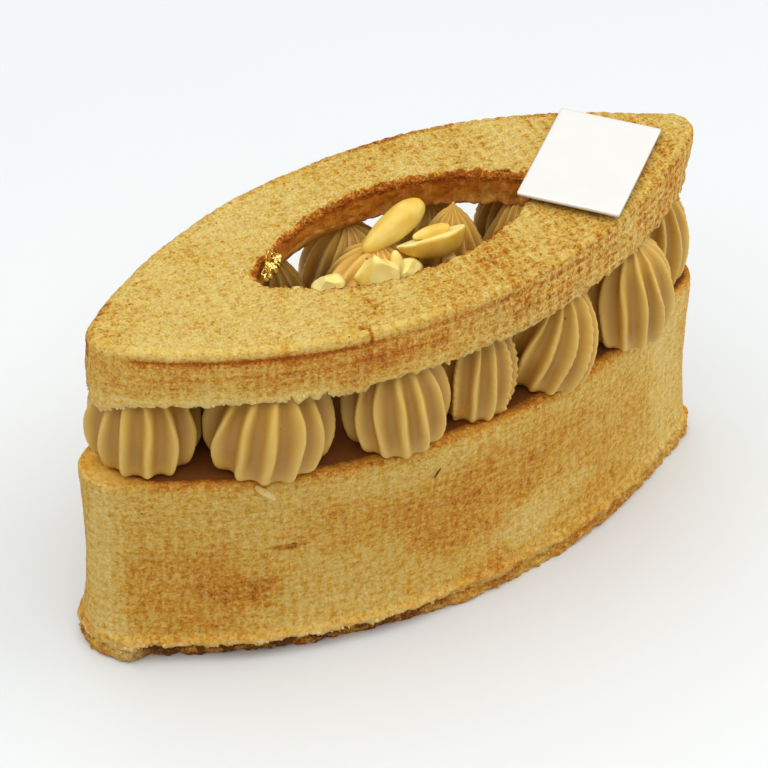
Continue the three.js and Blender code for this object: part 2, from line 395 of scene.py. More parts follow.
def new_tree(name, inputs):
    """A tree with these named inputs [(label, kind, value), ...], their fields and its end."""
    tree = bpy.data.node_groups.new(name, "GeometryNodeTree")
    tree.interface.new_socket("Geometry", in_out="INPUT", socket_type="NodeSocketGeometry")
    for label, kind, value in inputs:
        socket = tree.interface.new_socket(label, in_out="INPUT", socket_type=kind)
        if value is not None:
            socket.default_value = value
    tree.interface.new_socket("Geometry", in_out="OUTPUT", socket_type="NodeSocketGeometry")
    given = tree.nodes.new("NodeGroupInput")
    result = tree.nodes.new("NodeGroupOutput")
    fields = {s.name: Field(tree, s) for s in given.outputs if s.name}
    return tree, fields, result


def set_inputs(tree, node, **values):
    """Joins or sets the node's inputs by name, with _ for each space."""
    for name, value in values.items():
        link(tree, value, node.inputs[name.replace("_", " ")])


def add_node(tree, kind, settings=None, **values):
    """A new node with these settings and inputs."""
    node = tree.nodes.new(kind)
    for name, value in (settings or {}).items():
        setattr(node, name, value)
    set_inputs(tree, node, **values)
    return node


def split_vector(tree, vector):
    """X, Y and Z of a vector, as three fields."""
    node = add_node(tree, "ShaderNodeSeparateXYZ", Vector=vector)
    return [Field(tree, socket) for socket in node.outputs]


def end_tree(tree, geometry, finish, result):
    """Gives the tree's mesh its finish and hands it out."""
    dress = add_node(tree, "GeometryNodeSetMaterial", Geometry=geometry, Material=finish)
    tree.links.new(dress.outputs[0], result.inputs[0])


def grow(piece, tree, values):
    """Runs a tree on the piece with these inputs and keeps the result as the piece's plain mesh."""
    modifier = piece.modifiers.new(tree.name, "NODES")
    modifier.node_group = tree
    for item in tree.interface.items_tree:
        if item.in_out == "INPUT" and item.name in values:
            modifier[item.identifier] = values[item.name]
    bpy.context.view_layer.update()
    graph = bpy.context.evaluated_depsgraph_get()
    ready = piece.evaluated_get(graph)
    mesh = bpy.data.meshes.new_from_object(ready, preserve_all_data_layers=True, depsgraph=graph)
    piece.modifiers.clear()
    old = piece.data
    piece.data = mesh
    mesh.name = piece.name
    bpy.data.meshes.remove(old)
    return piece


print("node helpers ready")

# %% [markdown]
# ## Help for finishes
# Every finish is made of noise at known sizes. The helpers take sizes in millimetres, so that a
# 2 mm mottle is written as 2 and not as a scale.


# %% Material helpers
def new_material(name):
    """A material with one Principled shader, its tree and that shader."""
    material = bpy.data.materials.new(name)
    material.use_nodes = True
    tree = material.node_tree
    tree.nodes.clear()
    shader = tree.nodes.new("ShaderNodeBsdfPrincipled")
    output = tree.nodes.new("ShaderNodeOutputMaterial")
    tree.links.new(shader.outputs["BSDF"], output.inputs["Surface"])
    return material, tree, shader


def place_of(tree, shift=(0.0, 0.0, 0.0)):
    """The Object coordinate, moved."""
    coordinate = tree.nodes.new("ShaderNodeTexCoord")
    mapping = add_node(tree, "ShaderNodeMapping", Location=shift)
    tree.links.new(coordinate.outputs["Object"], mapping.inputs["Vector"])
    return mapping.outputs["Vector"]


def mottle(tree, size, detail=2.0, rough=0.5, seed=0.0):
    """Noise from 0 to 1 with features of that size in mm."""
    place = place_of(tree, (seed, -seed, 0.5 * seed))
    scale = 1 / (size * MM)
    node = add_node(tree, "ShaderNodeTexNoise", Vector=place, Scale=scale, Detail=detail, Roughness=rough)
    return Field(tree, node.outputs["Fac"])


def remembered(tree, name):
    """A number that the mesh remembers at each corner."""
    node = tree.nodes.new("ShaderNodeAttribute")
    node.attribute_name = name
    return Field(tree, node.outputs["Fac"])


def colours(tree, field, stops):
    """A colour band: [(place, (r, g, b)), ...] in linear light."""
    node = tree.nodes.new("ShaderNodeValToRGB")
    band = node.color_ramp
    while len(band.elements) < len(stops):
        band.elements.new(0.5)
    for element, (place, colour) in zip(band.elements, stops):
        element.position = place
        element.color = (*colour, 1.0)
    link(tree, field, node.inputs["Fac"])
    return node.outputs["Color"]


def blend_colours(tree, field, first, second):
    """The first colour where the field is 0, the second where it is 1."""
    node = tree.nodes.new("ShaderNodeMix")
    node.data_type = "RGBA"
    link(tree, field, node.inputs["Factor"])
    for value, socket in ((first, node.inputs[6]), (second, node.inputs[7])):
        link(tree, (*value, 1.0) if isinstance(value, tuple) else value, socket)
    return node.outputs[2]


def add_specks(tree, colour, spacing, shift, edge, share, speck_colour):
    """Round specks in cells of that size in mm; edge: where a speck starts to fade and where it
    ends, as shares of a cell; share: the cells with a random number past this have one."""
    cells = add_node(tree, "ShaderNodeTexVoronoi", Scale=1 / (spacing * MM), Vector=place_of(tree, shift))
    speck = Field(tree, cells.outputs["Distance"]).between(*edge, 1.0, 0.0)
    drawn = add_node(tree, "ShaderNodeSeparateColor", Color=cells.outputs["Color"])
    chosen = Field(tree, drawn.outputs[0]).between(*share)
    return blend_colours(tree, speck * chosen, colour, speck_colour)


def relief(tree, shader, height, depth, before=None):
    """Bump of that depth in mm from a height field."""
    node = add_node(tree, "ShaderNodeBump", Distance=depth * MM, Height=height)
    if before is not None:
        tree.links.new(before, node.inputs["Normal"])
    tree.links.new(node.outputs["Normal"], shader.inputs["Normal"])
    return node.outputs["Normal"]


print("material helpers ready")

# %% [markdown]
# ## Finish: baked choux crust
# The crust is golden, and where it lay against the hot mat it took an orange-brown mottle in the
# cells of the mesh. The mesh of the piece remembers where it is browned. The finish breaks those
# patches up with noise of many sizes, from broad clouds to pores, with streaks along the mat's
# threads, and with the cells of its print. A crust is never one hue, so faint pinkish and greenish
# clouds lie over the fair parts, with a few dark specks. Torn edges show the pale crumb.
# The lid's sides and its window's wall take lighter tones than its top, as painted light.

# %% Crust finish
MAT_ACROSS, MAT_UP = 2.15, 1.75
TOAST_STOPS = (0.0, 0.25, 0.48, 0.74, 1.0)


def mat_noise(tree, mat_vector, across, up, seed):
    """Noise drawn out along the threads of the mat, from 0 to 1; sizes in mm."""
    scale = (1 / across, 1 / up, 0.0)
    stretch = add_node(tree, "ShaderNodeMapping", Vector=mat_vector, Location=(seed, seed, seed), Scale=scale)
    drawn_out = stretch.outputs["Vector"]
    node = add_node(tree, "ShaderNodeTexNoise", Vector=drawn_out, Scale=1.0, Detail=3.0, Roughness=0.65)
    return Field(tree, node.outputs["Fac"])


def crust_finish(name, tones, dashes, dots, blots, bumpy, printed, painted_light_tones=None):
    """tones: from the palest to the darkest toast. dashes, dots, blots: how strongly threads, pores
    and blots are browned; bumpy: depth of the pores in mm; printed: strength of the print's cells.
    The last argument gives lighter tones, painted light on the sides of the piece, where its mesh has the
    mark "side"."""
    material, tree, shader = new_material(name)
    mat_place = tree.nodes.new("ShaderNodeAttribute")
    mat_place.attribute_name = "mat"
    mat_vector = mat_place.outputs["Vector"]
    mat_u, mat_v, mat_press = split_vector(tree, mat_vector)
    cell = (mat_u * (math.pi / MAT_ACROSS)).sin().abs() * (mat_v * (math.pi / MAT_UP)).sin().abs()
    print_cells = (cell**0.7 - 0.45) * mat_press * printed

    patches = mottle(tree, 7.0, 3.0, 0.6, seed=0.11)
    lying = mat_noise(tree, mat_vector, 2.4, 0.7, 3.1)
    standing = mat_noise(tree, mat_vector, 0.7, 2.6, 7.7)
    flecks = mottle(tree, 1.1, 4.0, 0.65, seed=0.23)
    grain = mottle(tree, 0.42, 2.0, 0.6, seed=0.37)
    browned = remembered(tree, "browning")
    rough = 1.0 - remembered(tree, "calm") * 0.75
    threads = (lying - 0.5) + (standing - 0.5)
    speckle = mottle(tree, 0.72, 3.0, 0.6, seed=0.47) + (browned - 0.36) * 0.45 + threads * 0.35
    spotty = (patches - 0.5) * 0.24 + (flecks - 0.5) * blots * 0.7 + threads * dashes
    spotty = spotty + (grain - 0.5) * dots + (speckle.between(0.46, 0.66) - 0.3) * blots * 0.42
    toast = browned * 0.85 + spotty * rough + print_cells

    colour = colours(tree, toast, list(zip(TOAST_STOPS, tones)))
    # painted light: the sides take lighter tones than the top
    if painted_light_tones:
        painted_light_colour = colours(tree, toast, list(zip(TOAST_STOPS, painted_light_tones)))
        colour = blend_colours(tree, remembered(tree, "side"), colour, painted_light_colour)
    fair = toast.between(0.62, 0.92, 1.0, 0.0)
    pink = (1.05 * tones[2][0], 0.84 * tones[2][1], 2.6 * tones[2][2])
    green = (0.86 * tones[1][0], 0.99 * tones[1][1], 1.35 * tones[1][2])
    # size in mm, seed, where a cloud is full, strength, tint
    for size, seed, full, strength, tint in ((0.9, 0.59, 0.64, 0.32, pink), (1.5, 0.67, 0.66, 0.34, green)):
        cloud = mottle(tree, size, 2.0, 0.6, seed=seed).between(0.54, full) * fair
        colour = blend_colours(tree, cloud * rough * strength, colour, tint)
    crumb_colour = colours(tree, flecks, [(0.3, (0.60, 0.38, 0.10)), (0.7, (0.86, 0.66, 0.30))])
    colour = blend_colours(tree, remembered(tree, "torn"), colour, crumb_colour)
    colour = add_specks(tree, colour, 2.6, (0.2, 0.1, 0.3), (0.045, 0.075), (0.62, 0.66), (0.17, 0.06, 0.015))
    set_inputs(tree, shader, Base_Color=colour, Roughness=0.78, Specular_IOR_Level=0.15)
    first = relief(tree, shader, grain * rough, bumpy)
    relief(tree, shader, flecks * rough, bumpy * 1.2, first)
    return material


# the darkest wall tone is also the painted shade on the base's top between the rosettes
WALL_TONES = [
    (0.87, 0.658, 0.249), (0.758, 0.509, 0.124), (0.683, 0.373, 0.046),
    (0.584, 0.205, 0.015), (0.186, 0.062, 0.012),
]
LID_TONES = [
    (0.745, 0.583, 0.211), (0.68, 0.478, 0.117), (0.599, 0.356, 0.05),
    (0.47, 0.178, 0.012), (0.267, 0.061, 0.004),
]
# painted light: lighter tones for the lid's sides than for its top, which the softbox overhead lights far
# more
SIDE_PAINTED_LIGHT_TONES = [
    (0.97, 0.8, 0.294), (0.907, 0.613, 0.16), (0.8, 0.46, 0.077),
    (0.63, 0.205, 0.018), (0.36, 0.085, 0.008),
]
crust = crust_finish("baked_crust", WALL_TONES, dashes=0.28, dots=0.85, blots=0.56, bumpy=0.25, printed=0.12)
grainy_crust = crust_finish("grainy_crust", LID_TONES, dashes=0.36, dots=1.3, blots=0.60, bumpy=0.42,
                            printed=0.42, painted_light_tones=SIDE_PAINTED_LIGHT_TONES)
print("crust finishes:", crust.name, "and", grainy_crust.name)

# %% [markdown]
# ## The baking mat's print, with Geometry Nodes
# The dough rose against a perforated mat, so it is covered in rows of small pillows. A material
# could only fake them, and they show in the outline of the lid. A Geometry Nodes tree therefore
# moves each corner along its normal by a wave in the mat's own coordinates, and by a fine noise.

# %% Print tree
print_tree, given, result = new_tree("mat_print", [
    ("Across", FLOAT, MAT_ACROSS),
    ("Up", FLOAT, MAT_UP),
    ("Height", FLOAT, 0.16),
    ("Unevenness", FLOAT, 0.22),
    ("Crust", FINISH, None),
])


def named_attribute(tree, name, kind):
    """An attribute of the mesh, as a Geometry Nodes socket."""
    node = add_node(tree, "GeometryNodeInputNamedAttribute", {"data_type": kind}, Name=name)
    return node.outputs["Attribute"]


u, v, press = split_vector(print_tree, named_attribute(print_tree, "mat", "FLOAT_VECTOR"))
pillow = ((u * math.pi / given["Across"]).sin().abs() * (v * math.pi / given["Up"]).sin().abs()) ** 0.6
fine_noise = add_node(print_tree, "ShaderNodeTexNoise", Scale=1 / (1.1 * MM), Detail=3.0, Roughness=0.6)
rough = Field(print_tree, fine_noise.outputs["Fac"]) - 0.5
rise = (pillow - 0.6) * press * given["Height"] + rough * given["Unevenness"] * 2.0
normal = print_tree.nodes.new("GeometryNodeInputNormal")
push = add_node(print_tree, "ShaderNodeVectorMath", {"operation": "SCALE"}, Scale=rise * MM)
print_tree.links.new(normal.outputs["Normal"], push.inputs[0])
move = add_node(print_tree, "GeometryNodeSetPosition", Geometry=given["Geometry"], Offset=push.outputs[0])
end_tree(print_tree, move.outputs[0], given["Crust"], result)
print("print cells", MAT_ACROSS, "x", MAT_UP, "mm")

# %% [markdown]
# ## Base
# The base is one closed skin: its underside, a crumbly foot that the oven dried to brown, a wall
# with a slight waist, a rounded rim and the flat top that carries the cream. It could be a solid
# with modifiers, but rings let each height have its own growth, and give an even mesh that can
# carry fine crumbs.

# %% Base rings
BASE_COUNT = 640
base_line, base_out, base_s = pointed_oval(BASE_LENGTH, BASE_WIDTH, BASE_TIP, BASE_COUNT)
base_round = base_s[1] * BASE_COUNT
CELLS_ROUND_BASE = 2 * round(base_round / MAT_ACROSS / 2)
base_u = base_s * CELLS_ROUND_BASE * MAT_ACROSS / base_round
TIP_FLARE, FOOT_LEAN = 0.5, 0.25
FOOT_STEP, WALL_STEP = 0.22, 0.46
FINE_STEP, ROUNDED_OVER = 0.05, 9  # mm, and fine steps to each side of a corner
# (height in mm, growth of the outline in mm)
FOOT = [(0.0, 0.6), (0.9, 0.9), (2.7, 0.5), (3.2, 1.9), (3.7, 2.45), (4.3, 2.15)]
# (share of the height, growth)
WALL = [
    (0.13, 1.1), (0.20, 0.5), (0.28, 0.05), (0.5, -0.35), (0.75, -0.25), (0.93, 0.0), (0.985, -0.1),
    (0.998, -0.5),
]


def even_steps(stations, step):
    """Points along a broken line, evenly spaced, with rounded corners."""
    stations = np.asarray(stations, float)
    length = np.r_[0, np.cumsum(np.linalg.norm(np.diff(stations[:, :2], axis=0), axis=1))]
    fine = np.linspace(0, length[-1], 2 + int(length[-1] / FINE_STEP))
    path = np.stack([np.interp(fine, length, c) for c in stations.T], 1)
    padded = np.pad(path, ((ROUNDED_OVER, ROUNDED_OVER), (0, 0)), mode="edge")
    kernel = np.ones(2 * ROUNDED_OVER + 1) / (2 * ROUNDED_OVER + 1)
    smooth = np.stack([np.convolve(c, kernel, mode="valid") for c in padded.T], 1)
    count = max(2, int(round(length[-1] / step)))
    pick = np.linspace(0, len(fine) - 1, count + 1).astype(int)
    return smooth[pick]


wall = [FOOT[-1]] + [(share * BASE_HEIGHT, growth) for share, growth in WALL]
profile = np.vstack([even_steps(FOOT, FOOT_STEP)[:-1], even_steps(wall, WALL_STEP)])
rings, mats = [], []
for height, growth in profile:
    flare = max(growth, 0.0)
    point = base_line + base_out * growth
    point[:, 0] *= 1 - 2 * (1 - TIP_FLARE) * flare / BASE_LENGTH
    point[:, 0] -= FOOT_LEAN * flare
    z = height / BASE_HEIGHT * base_top(point[:, 0])
    rings.append(np.column_stack([point, z]))
    mats.append(np.column_stack([base_u, z, np.ones(BASE_COUNT)]))
wall_levels = len(rings)
print("wall rings:", wall_levels)

# %% Close the base above and below
# the way of each ring from the edge to the middle line, and that line's length as a share
TOP_SHARES = np.r_[np.linspace(0.03, 0.45, 16), np.linspace(0.55, 1.0, 7)]
UNDER_SHARES = [1.0, 0.6, 0.3, 0.12]
SPINE_SHARE = 0.84
TOP_SINK, TOP_PRINT = 0.36, 0.6


def inner_rings(edge, height, shares):
    """Rings that shrink from an edge to the boat's middle line."""
    spine = np.column_stack([edge[:, 0] * SPINE_SHARE, np.zeros(len(edge))])
    made = []
    for share in shares:
        point = edge[:, :2] * (1 - share) + spine * share
        made.append(np.column_stack([point, height(point, share)]))
    return made


def sunken_top(point, share):
    """The base's top, a little below its rim."""
    return base_top(point[:, 0]) - TOP_SINK * ramp_up(share, 0.0, 0.06)


for ring in inner_rings(rings[-1], sunken_top, TOP_SHARES):
    rings.append(ring)
    mats.append(np.column_stack([ring[:, :2], np.full(BASE_COUNT, TOP_PRINT)]))
below = inner_rings(rings[0], lambda point, share: np.zeros(len(point)), UNDER_SHARES)
rings = np.array(below + rings)
mats = np.array([np.column_stack([ring[:, :2], np.zeros(BASE_COUNT)]) for ring in below] + mats)
print("base grid", rings.shape)

# %% [markdown]
# ## Browning of the base
# The oven browned the wall in soft patches, each with a centre along the wall, a height, a half
# length and a half height. They could be painted on the mesh by hand. Here they are a sum of soft
# spots whose edges wander with the lumps, so that a patch can be moved by changing one number.

# %% Browning of the base
# (distance from the -X tip, height, half length, half height, strength)
BROWN_PATCHES = [
    (17, 14, 14, 8.5, 0.15), (24, 13, 6, 3, 0.11), (33, 21.5, 3.5, 0.9, 0.32), (30, 12, 3, 4, 0.09),
    (63, 20, 14, 11, 0.11), (60, 17, 9, 6, 0.08), (92, 19, 18, 10, 0.09), (70, 5, 8, 3.5, 0.14),
    (93, 6, 10, 4.5, 0.10), (46, 24, 12, 6, 0.10), (72, 26, 14, 7, 0.07), (18, 5, 11, 3, 0.07),
    (12, 26, 12, 7, 0.04),
]
PALE_PATCHES = [
    (113, 20, 6, 20, 0.14), (42, 10, 10, 7.5, 0.04), (80, 12, 12, 3.2, 0.11), (2, 20, 5, 18, 0.12),
    (58, 31, 22, 4, 0.04), (100, 26, 12, 7, 0.05), (29.5, 34.2, 0.9, 2.2, 0.18),
]
PLAIN_TOAST, TOP_TOAST = 0.41, 0.60


def patchwork(s, z, patches):
    """The sum of soft patches at a distance along the wall and a height."""
    total = np.zeros_like(s)
    for centre, height, half_length, half_height, strength in patches:
        spot = ((s - centre) / half_length) ** 2 + ((z - height) / half_height) ** 2
        total += strength * ramp_up(-spot, -1.5, -0.35)
    return total


flat = rings.reshape(-1, 3)
z = flat[:, 2]
s_all = np.tile(base_s, len(rings))
level = np.repeat(np.arange(len(rings)), BASE_COUNT) - len(below)
on_wall = (level >= 0) & (level < wall_levels)
on_top = level >= wall_levels
back = s_all > base_round / 2
front_s = np.where(back, base_round - s_all, s_all)
at_left_tip = ramp_up(-flat[:, 0], 46, 53)

wander_s, wander_z = s_all + 3 * lumps(flat, 9, 3), z + 1.6 * lumps(flat, 6, 4)
browning = PLAIN_TOAST + patchwork(wander_s, wander_z, BROWN_PATCHES) * ~back
browning -= patchwork(wander_s, wander_z, PALE_PATCHES) * ~back
clouds = ramp_up(lumps(flat, 14, 8) + 0.8 * lumps(flat, 6, 9), -0.3, 1.0)
browning += back * ramp_up(front_s, 10, 24) * 0.15 * clouds
rim_height = base_top(flat[:, 0])
toasted_rim = 0.10 * ramp_up(z, rim_height - 2.6, rim_height - 1.0)
toasted_rim += 0.16 * ramp_up(z, rim_height - 0.9, rim_height - 0.3)
browning += toasted_rim * on_wall * (1 - 0.8 * at_left_tip)
from_rim = np.repeat(np.r_[np.zeros(len(rings) - len(TOP_SHARES)), TOP_SHARES], BASE_COUNT)
# the top darkens from the rim towards its middle, under and between the rosettes: painted shade over its own
# browning
painted_shade_middle = ramp_up(from_rim, 0.03 + 0.25 * at_left_tip, 0.16 + 0.5 * at_left_tip)
top_toast_and_shade = TOP_TOAST - 0.14 * at_left_tip + 0.70 * painted_shade_middle + 0.08 * lumps(flat, 3, 5)
browning = np.where(on_top, top_toast_and_shade, browning)
print("browning of the wall:", browning[on_wall].min().round(2), "to", browning[on_wall].max().round(2))

# %% [markdown]
# ## Unevenness of the base
# Near the floor the dough flowed out into a lip, and under it the foot is dry and full of crumbs.
# At the left tip the lip folded into a small flap. Broad waves from the mould run over the wall.
# All of it is height that shows in the outline, so each corner is pushed along the direction that
# points outwards, by lumps of several sizes.

# %% Foot, lip and torn crumb
undercut = 0.30 + 0.70 * ramp_up(front_s, 6, 11) * ramp_up(-front_s, -66, -46)
undercut = np.where(back, 0.45 + 0.3 * lumps(flat, 16, 10), undercut)
foot_zone = ramp_up(-z, -3.5, -2.7) * on_wall
crumb_noise = lumps(flat, 0.7, 6)
browning += foot_zone * undercut * (0.50 + 0.34 * lumps(flat, 1.5, 2) + 0.25 * crumb_noise)
torn = 0.9 * ramp_up(bump_at(z, 3.8, 0.7) + 0.45 * lumps(flat, 1.2, 7), 0.65, 1.0)
torn *= on_wall * (0.25 + 0.75 * undercut)
flap = bump_at(front_s, 7.0, 2.2) * ~back * ramp_up(-z, -4.6, -3.6) * on_wall
torn = np.maximum(torn, 0.9 * flap)
crumbly = (foot_zone * undercut + 0.7 * torn + flap) * ramp_up(z, 0.2, 0.7)
calm = on_top * 0.7 * ramp_up(from_rim, 0.0, 0.15)
fold = bump_at(z, 4.6 - 0.12 * front_s, 0.5) * ramp_up(-front_s, -9, -5) * 0.35
# the fold is also darkened along its crease, as painted shade
browning += fold * 0.5 * on_wall
print("crumbly corners:", int((crumbly > 0.5).sum()), "of", len(flat))

# %% Push the wall out and in
outward = np.zeros_like(flat)
outward[:, :2] = np.tile(base_out, (len(rings), 1))
wave = 0.22 * lumps(flat, 13, 11) + 0.12 * lumps(flat, 5, 12)
slanted_ridge = bump_at(s_all + 0.35 * (z - 34), 29.5, 0.45) * bump_at(z, 34.2, 1.4)
wave += 0.45 * slanted_ridge
filled = 1 - undercut  # 1 where the dough fills the foot
ragged = foot_zone * (0.40 * lumps(flat, 1.5, 13) + 0.42 * crumb_noise - 0.2 + 1.3 * filled) + 1.3 * flap
lip = bump_at(z, 3.6, 0.7) * (0.40 * lumps(flat, 1.0, 15) + 0.25 * lumps(flat, 2.6, 16) - 0.5 * filled)
flat = flat + outward * ((wave + ragged + lip - fold) * on_wall)[:, None]
left_push = ramp_up(-flat[:, 0], 44, 54) * (0.35 + 0.30 * ramp_up(z, 33, 37))
tip_push = (left_push + 0.5 * ramp_up(flat[:, 0], 48, 54)) * (1 - ramp_up(from_rim, 0.0, 0.4))
flat += outward * (tip_push * (on_wall | on_top))[:, None]
print("length of the base in mm:", round(np.ptp(flat[:, 0]), 1))

# %% Raise and lower the lip, the top and the rim
lip_height = 0.45 * lumps(flat * (1, 1, 0), 2.2, 17) + 0.50 * lumps(flat * (1, 1, 0), 0.9, 18)
flat[:, 2] += bump_at(z, 3.3, 0.9) * lip_height * on_wall
flat[:, 2] += on_top * 0.18 * lumps(flat, 3, 19)
rim = bump_at(z, base_top(flat[:, 0]) - 0.2, 1.1) * (on_wall | on_top)
flat[:, 2] += rim * (0.22 * lumps(flat, 3.5, 20) + 0.12 * lumps(flat, 1.2, 21))
flat[:, 2] = np.where(on_wall & (z < 0.05), 0, flat[:, 2])
print("top of the base in mm:", round(flat[:, 2].max(), 2))

# %% Build the base


def in_rings(rings, **marks):
    """The marks of each corner, cut into rings."""
    return {name: values.reshape(rings.shape[:2]) for name, values in marks.items()}


mats[:, :, 2] *= (1 - 0.85 * foot_zone).reshape(mats.shape[:2])
marks = in_rings(rings, browning=browning, torn=torn, crumbly=crumbly, calm=calm)
mat_round = CELLS_ROUND_BASE * MAT_ACROSS
rings = flat.reshape(rings.shape)
base_crust = skin_of_rings("base_crust", rings, marks, mat=mats, mat_round=mat_round)
close_and_smooth(base_crust)
grow(base_crust, print_tree, {"Height": 0.06, "Unevenness": 0.17, "Crust": crust})
finish_piece(base_crust, crust, "root", ["base"])

# %% [markdown]
# ## Lid
# The lid is a slab with a window, so its rings close on each other like a picture frame: up the
# outer side, over the top to the window, down the inner wall and back along the arched underside.
# A boolean cut would make the same window, but its mesh would be too coarse there for crumbs.

# %% Lid rings
LID_COUNT = 840
lid_line, lid_out, lid_s = pointed_oval(LID_LENGTH, LID_WIDTH, LID_TIP, LID_COUNT)
window_line, window_out, window_s = pointed_oval(WINDOW_LENGTH, WINDOW_WIDTH, WINDOW_TIP, LID_COUNT)
lid_round = lid_s[1] * LID_COUNT
CELLS_ROUND_LID = 2 * round(lid_round / MAT_ACROSS / 2)
lid_u = lid_s * CELLS_ROUND_LID * MAT_ACROSS / lid_round
SLAB = 10.7  # the slab's thickness in mm, used to space the rings
SIDE_STEP, INNER_STEP, TOP_RINGS, UNDER_RINGS = 0.42, 0.5, 45, 14
# (growth of the outline in mm, share of the slab's height)
LID_SIDE = [(-0.35, 0.0), (0.1, 0.03), (0.3, 0.45), (0.2, 0.92), (0.0, 0.975), (-0.5, 0.998), (-1.3, 1.0)]
# (growth of the window in mm, height in mm over the lower edge)
WINDOW_WALL = [(0.9, SLAB), (0.35, 10.45), (0.0, 9.9), (0.05, 7.5), (0.1, ARCH)]
PRESS = {"side": 1.0, "top": 0.7, "inner": 0.3, "under": 0.6}  # how clearly each part took the print

# (part, way from the outline to the window, growth outside, growth at the window, share of the height)
levels = []
for growth, height in even_steps([(g, SLAB * h) for g, h in LID_SIDE], SIDE_STEP):
    levels.append(("side", 0.0, growth, 0.0, height / SLAB))
for way in np.linspace(0, 1, TOP_RINGS + 1)[1:]:
    levels.append(("top", way, LID_SIDE[-1][0], WINDOW_WALL[0][0], 1.0))
for growth, height in even_steps(WINDOW_WALL, INNER_STEP)[1:]:
    levels.append(("inner", 1.0, 0.0, growth, height / SLAB))
for way in np.linspace(1, 0, UNDER_RINGS + 2)[1:-1]:
    levels.append(("under", way, -0.6, 0.1, 0.0))

rings, mats = [], []
for part, way, outer, inner, share in levels:
    point = (lid_line + lid_out * outer) * (1 - way) + (window_line + window_out * inner) * way
    x = point[:, 0]
    low, high = lid_under(x), lid_top(x)
    if part == "under":
        z = low + ARCH * way
    elif part == "inner":
        arch_share = ARCH / SLAB
        z = low + ARCH + (high - low - ARCH) * (share - arch_share) / (1 - arch_share)
    else:
        z = low + (high - low) * share
    rings.append(np.column_stack([point, z]))
    # the side is unrolled onto the mat, and the rest lies flat on it
    on_mat = [lid_u, z] if part == "side" else list(point.T)
    clear = 0.35 + 0.50 * ramp_up(x, -12, 22)
    mats.append(np.column_stack([*on_mat, clear * PRESS[part]]))
rings, mats = np.array(rings), np.array(mats)
print("lid grid", rings.shape)

# %% [markdown]
# ## Torn and lumpy edges of the lid
# The lower edge of the lid was torn from its mould, and some tabs of crumb hang over the cream.
# The window was cut through the soft crumb, so its rim is lumpy. Tabs and notches stand in two
# short lists, and chance does the rest.

# %% Lower edge of the lid
# (distance from the -X tip along the front, width, drop) of the tabs that hang from the lower edge
TABS = [
    (30.5, 1.3, 0.6), (33.2, 1.2, 0.9), (36.2, 0.9, 0.9), (39.8, 2.2, 0.9), (43.0, 1.6, 0.9), (1.5, 4.5, 2.5),
    (9, 4.0, 0.4),
]
# the same for the notches, which reach up
NOTCHES = [(32.0, 0.35, 0.9), (37.6, 0.4, 1.0), (34.9, 0.3, 0.7), (66.0, 0.6, 0.7), (82.5, 0.8, 0.6)]

flat = rings.reshape(-1, 3)
x = flat[:, 0]
z = flat[:, 2].copy()
part = np.repeat([row[0] for row in levels], LID_COUNT)
way = np.repeat([row[1] for row in levels], LID_COUNT)
s_all = np.tile(lid_s, len(rings))
is_side, is_top, is_inner, is_under = (part == name for name in ("side", "top", "inner", "under"))
front = s_all < lid_round / 2
over_edge = z - lid_under(x)
down = lid_top(x) - z
right_tip = ramp_up(x, 47, 54)

edge_lumps = 0.20 * along(lid_s, 2.6, 31) + 0.26 * along(lid_s, 1.1, 32) + 0.34 * along(lid_s, 0.5, 30)
drop = sum(depth * bump_at(lid_s, at, width) for at, width, depth in TABS)
drop -= sum(depth * bump_at(lid_s, at, width) for at, width, depth in NOTCHES)
near_edge = np.where(is_side, ramp_up(-over_edge, -2.4, -0.2), 0)
near_edge = np.where(is_under, ramp_up(-way, -0.16, 0.0), near_edge)
lift = near_edge * (np.tile(edge_lumps - drop, len(rings)) + 1.3 * right_tip)
print("the lower edge drops by up to", round(-lift.min(), 2), "mm")

# %% Rim and foot of the window
rim_lumps = 0.35 * along(window_s, 1.3, 33) + 0.30 * along(window_s, 0.6, 34)
at_window = np.where(is_inner, ramp_up(-down, -2.0, 0.0), 0) + np.where(is_top, ramp_up(way, 0.955, 1.0), 0)
lift += at_window * np.tile(rim_lumps, len(rings)) * 0.8
low_window = np.where(is_inner, ramp_up(down, 3.6, 6.4), 0) + np.where(is_under, ramp_up(way, 0.88, 1.0), 0)
lift += low_window * 1.8 * ramp_up(-x, -4, 10) * ramp_up(flat[:, 1], 0, 4)
foot_lumps = 0.5 * along(window_s, 1.6, 35) + 0.3 * along(window_s, 0.7, 36)
lift += low_window * np.tile(foot_lumps, len(rings))
print("lift of the edges:", round(lift.min(), 2), "to", round(lift.max(), 2), "mm")

# %% [markdown]
# ## Crease and waves of the lid
# Just under the rounded top edge the dough folded, which left a thin browned crease that comes and
# goes. The slab also waves a little, and its right tip lifts, with its lower edge drawn in. These
# are soft hills and hollows along the wall, added up and applied once.

# %% Crease, waves and the lifted tip
outward, inward = np.zeros_like(flat), np.zeros_like(flat)
outward[:, :2] = np.tile(lid_out, (len(rings), 1))
inward[:, :2] = -np.tile(window_out, (len(rings), 1))
crease_at = 1.9 + 0.25 * along(s_all, 9, 37)
crease_length = ramp_up(s_all, 5, 9) * ramp_up(-s_all, -52, -36)
crease_length += 0.3 * ramp_up(s_all, 36, 50) * ramp_up(-s_all, -90, -75)
crease = bump_at(down, crease_at, 0.42) * crease_length * is_side
warm_band = bump_at(down, crease_at + 0.25, 0.8) * crease_length * is_side
wave = 0.20 * lumps(flat, 12, 41) + 0.12 * lumps(flat, 4.5, 42)
side_push = is_side * (wave - 0.30 * crease) + near_edge * is_side * (0.35 * lumps(flat, 1.2, 43) - 0.1)
window_push = is_inner * (0.25 * lumps(flat, 2.2, 44) + 0.2 * lumps(flat, 0.9, 45))
window_push += at_window * 0.35 * lumps(flat, 0.9, 46)
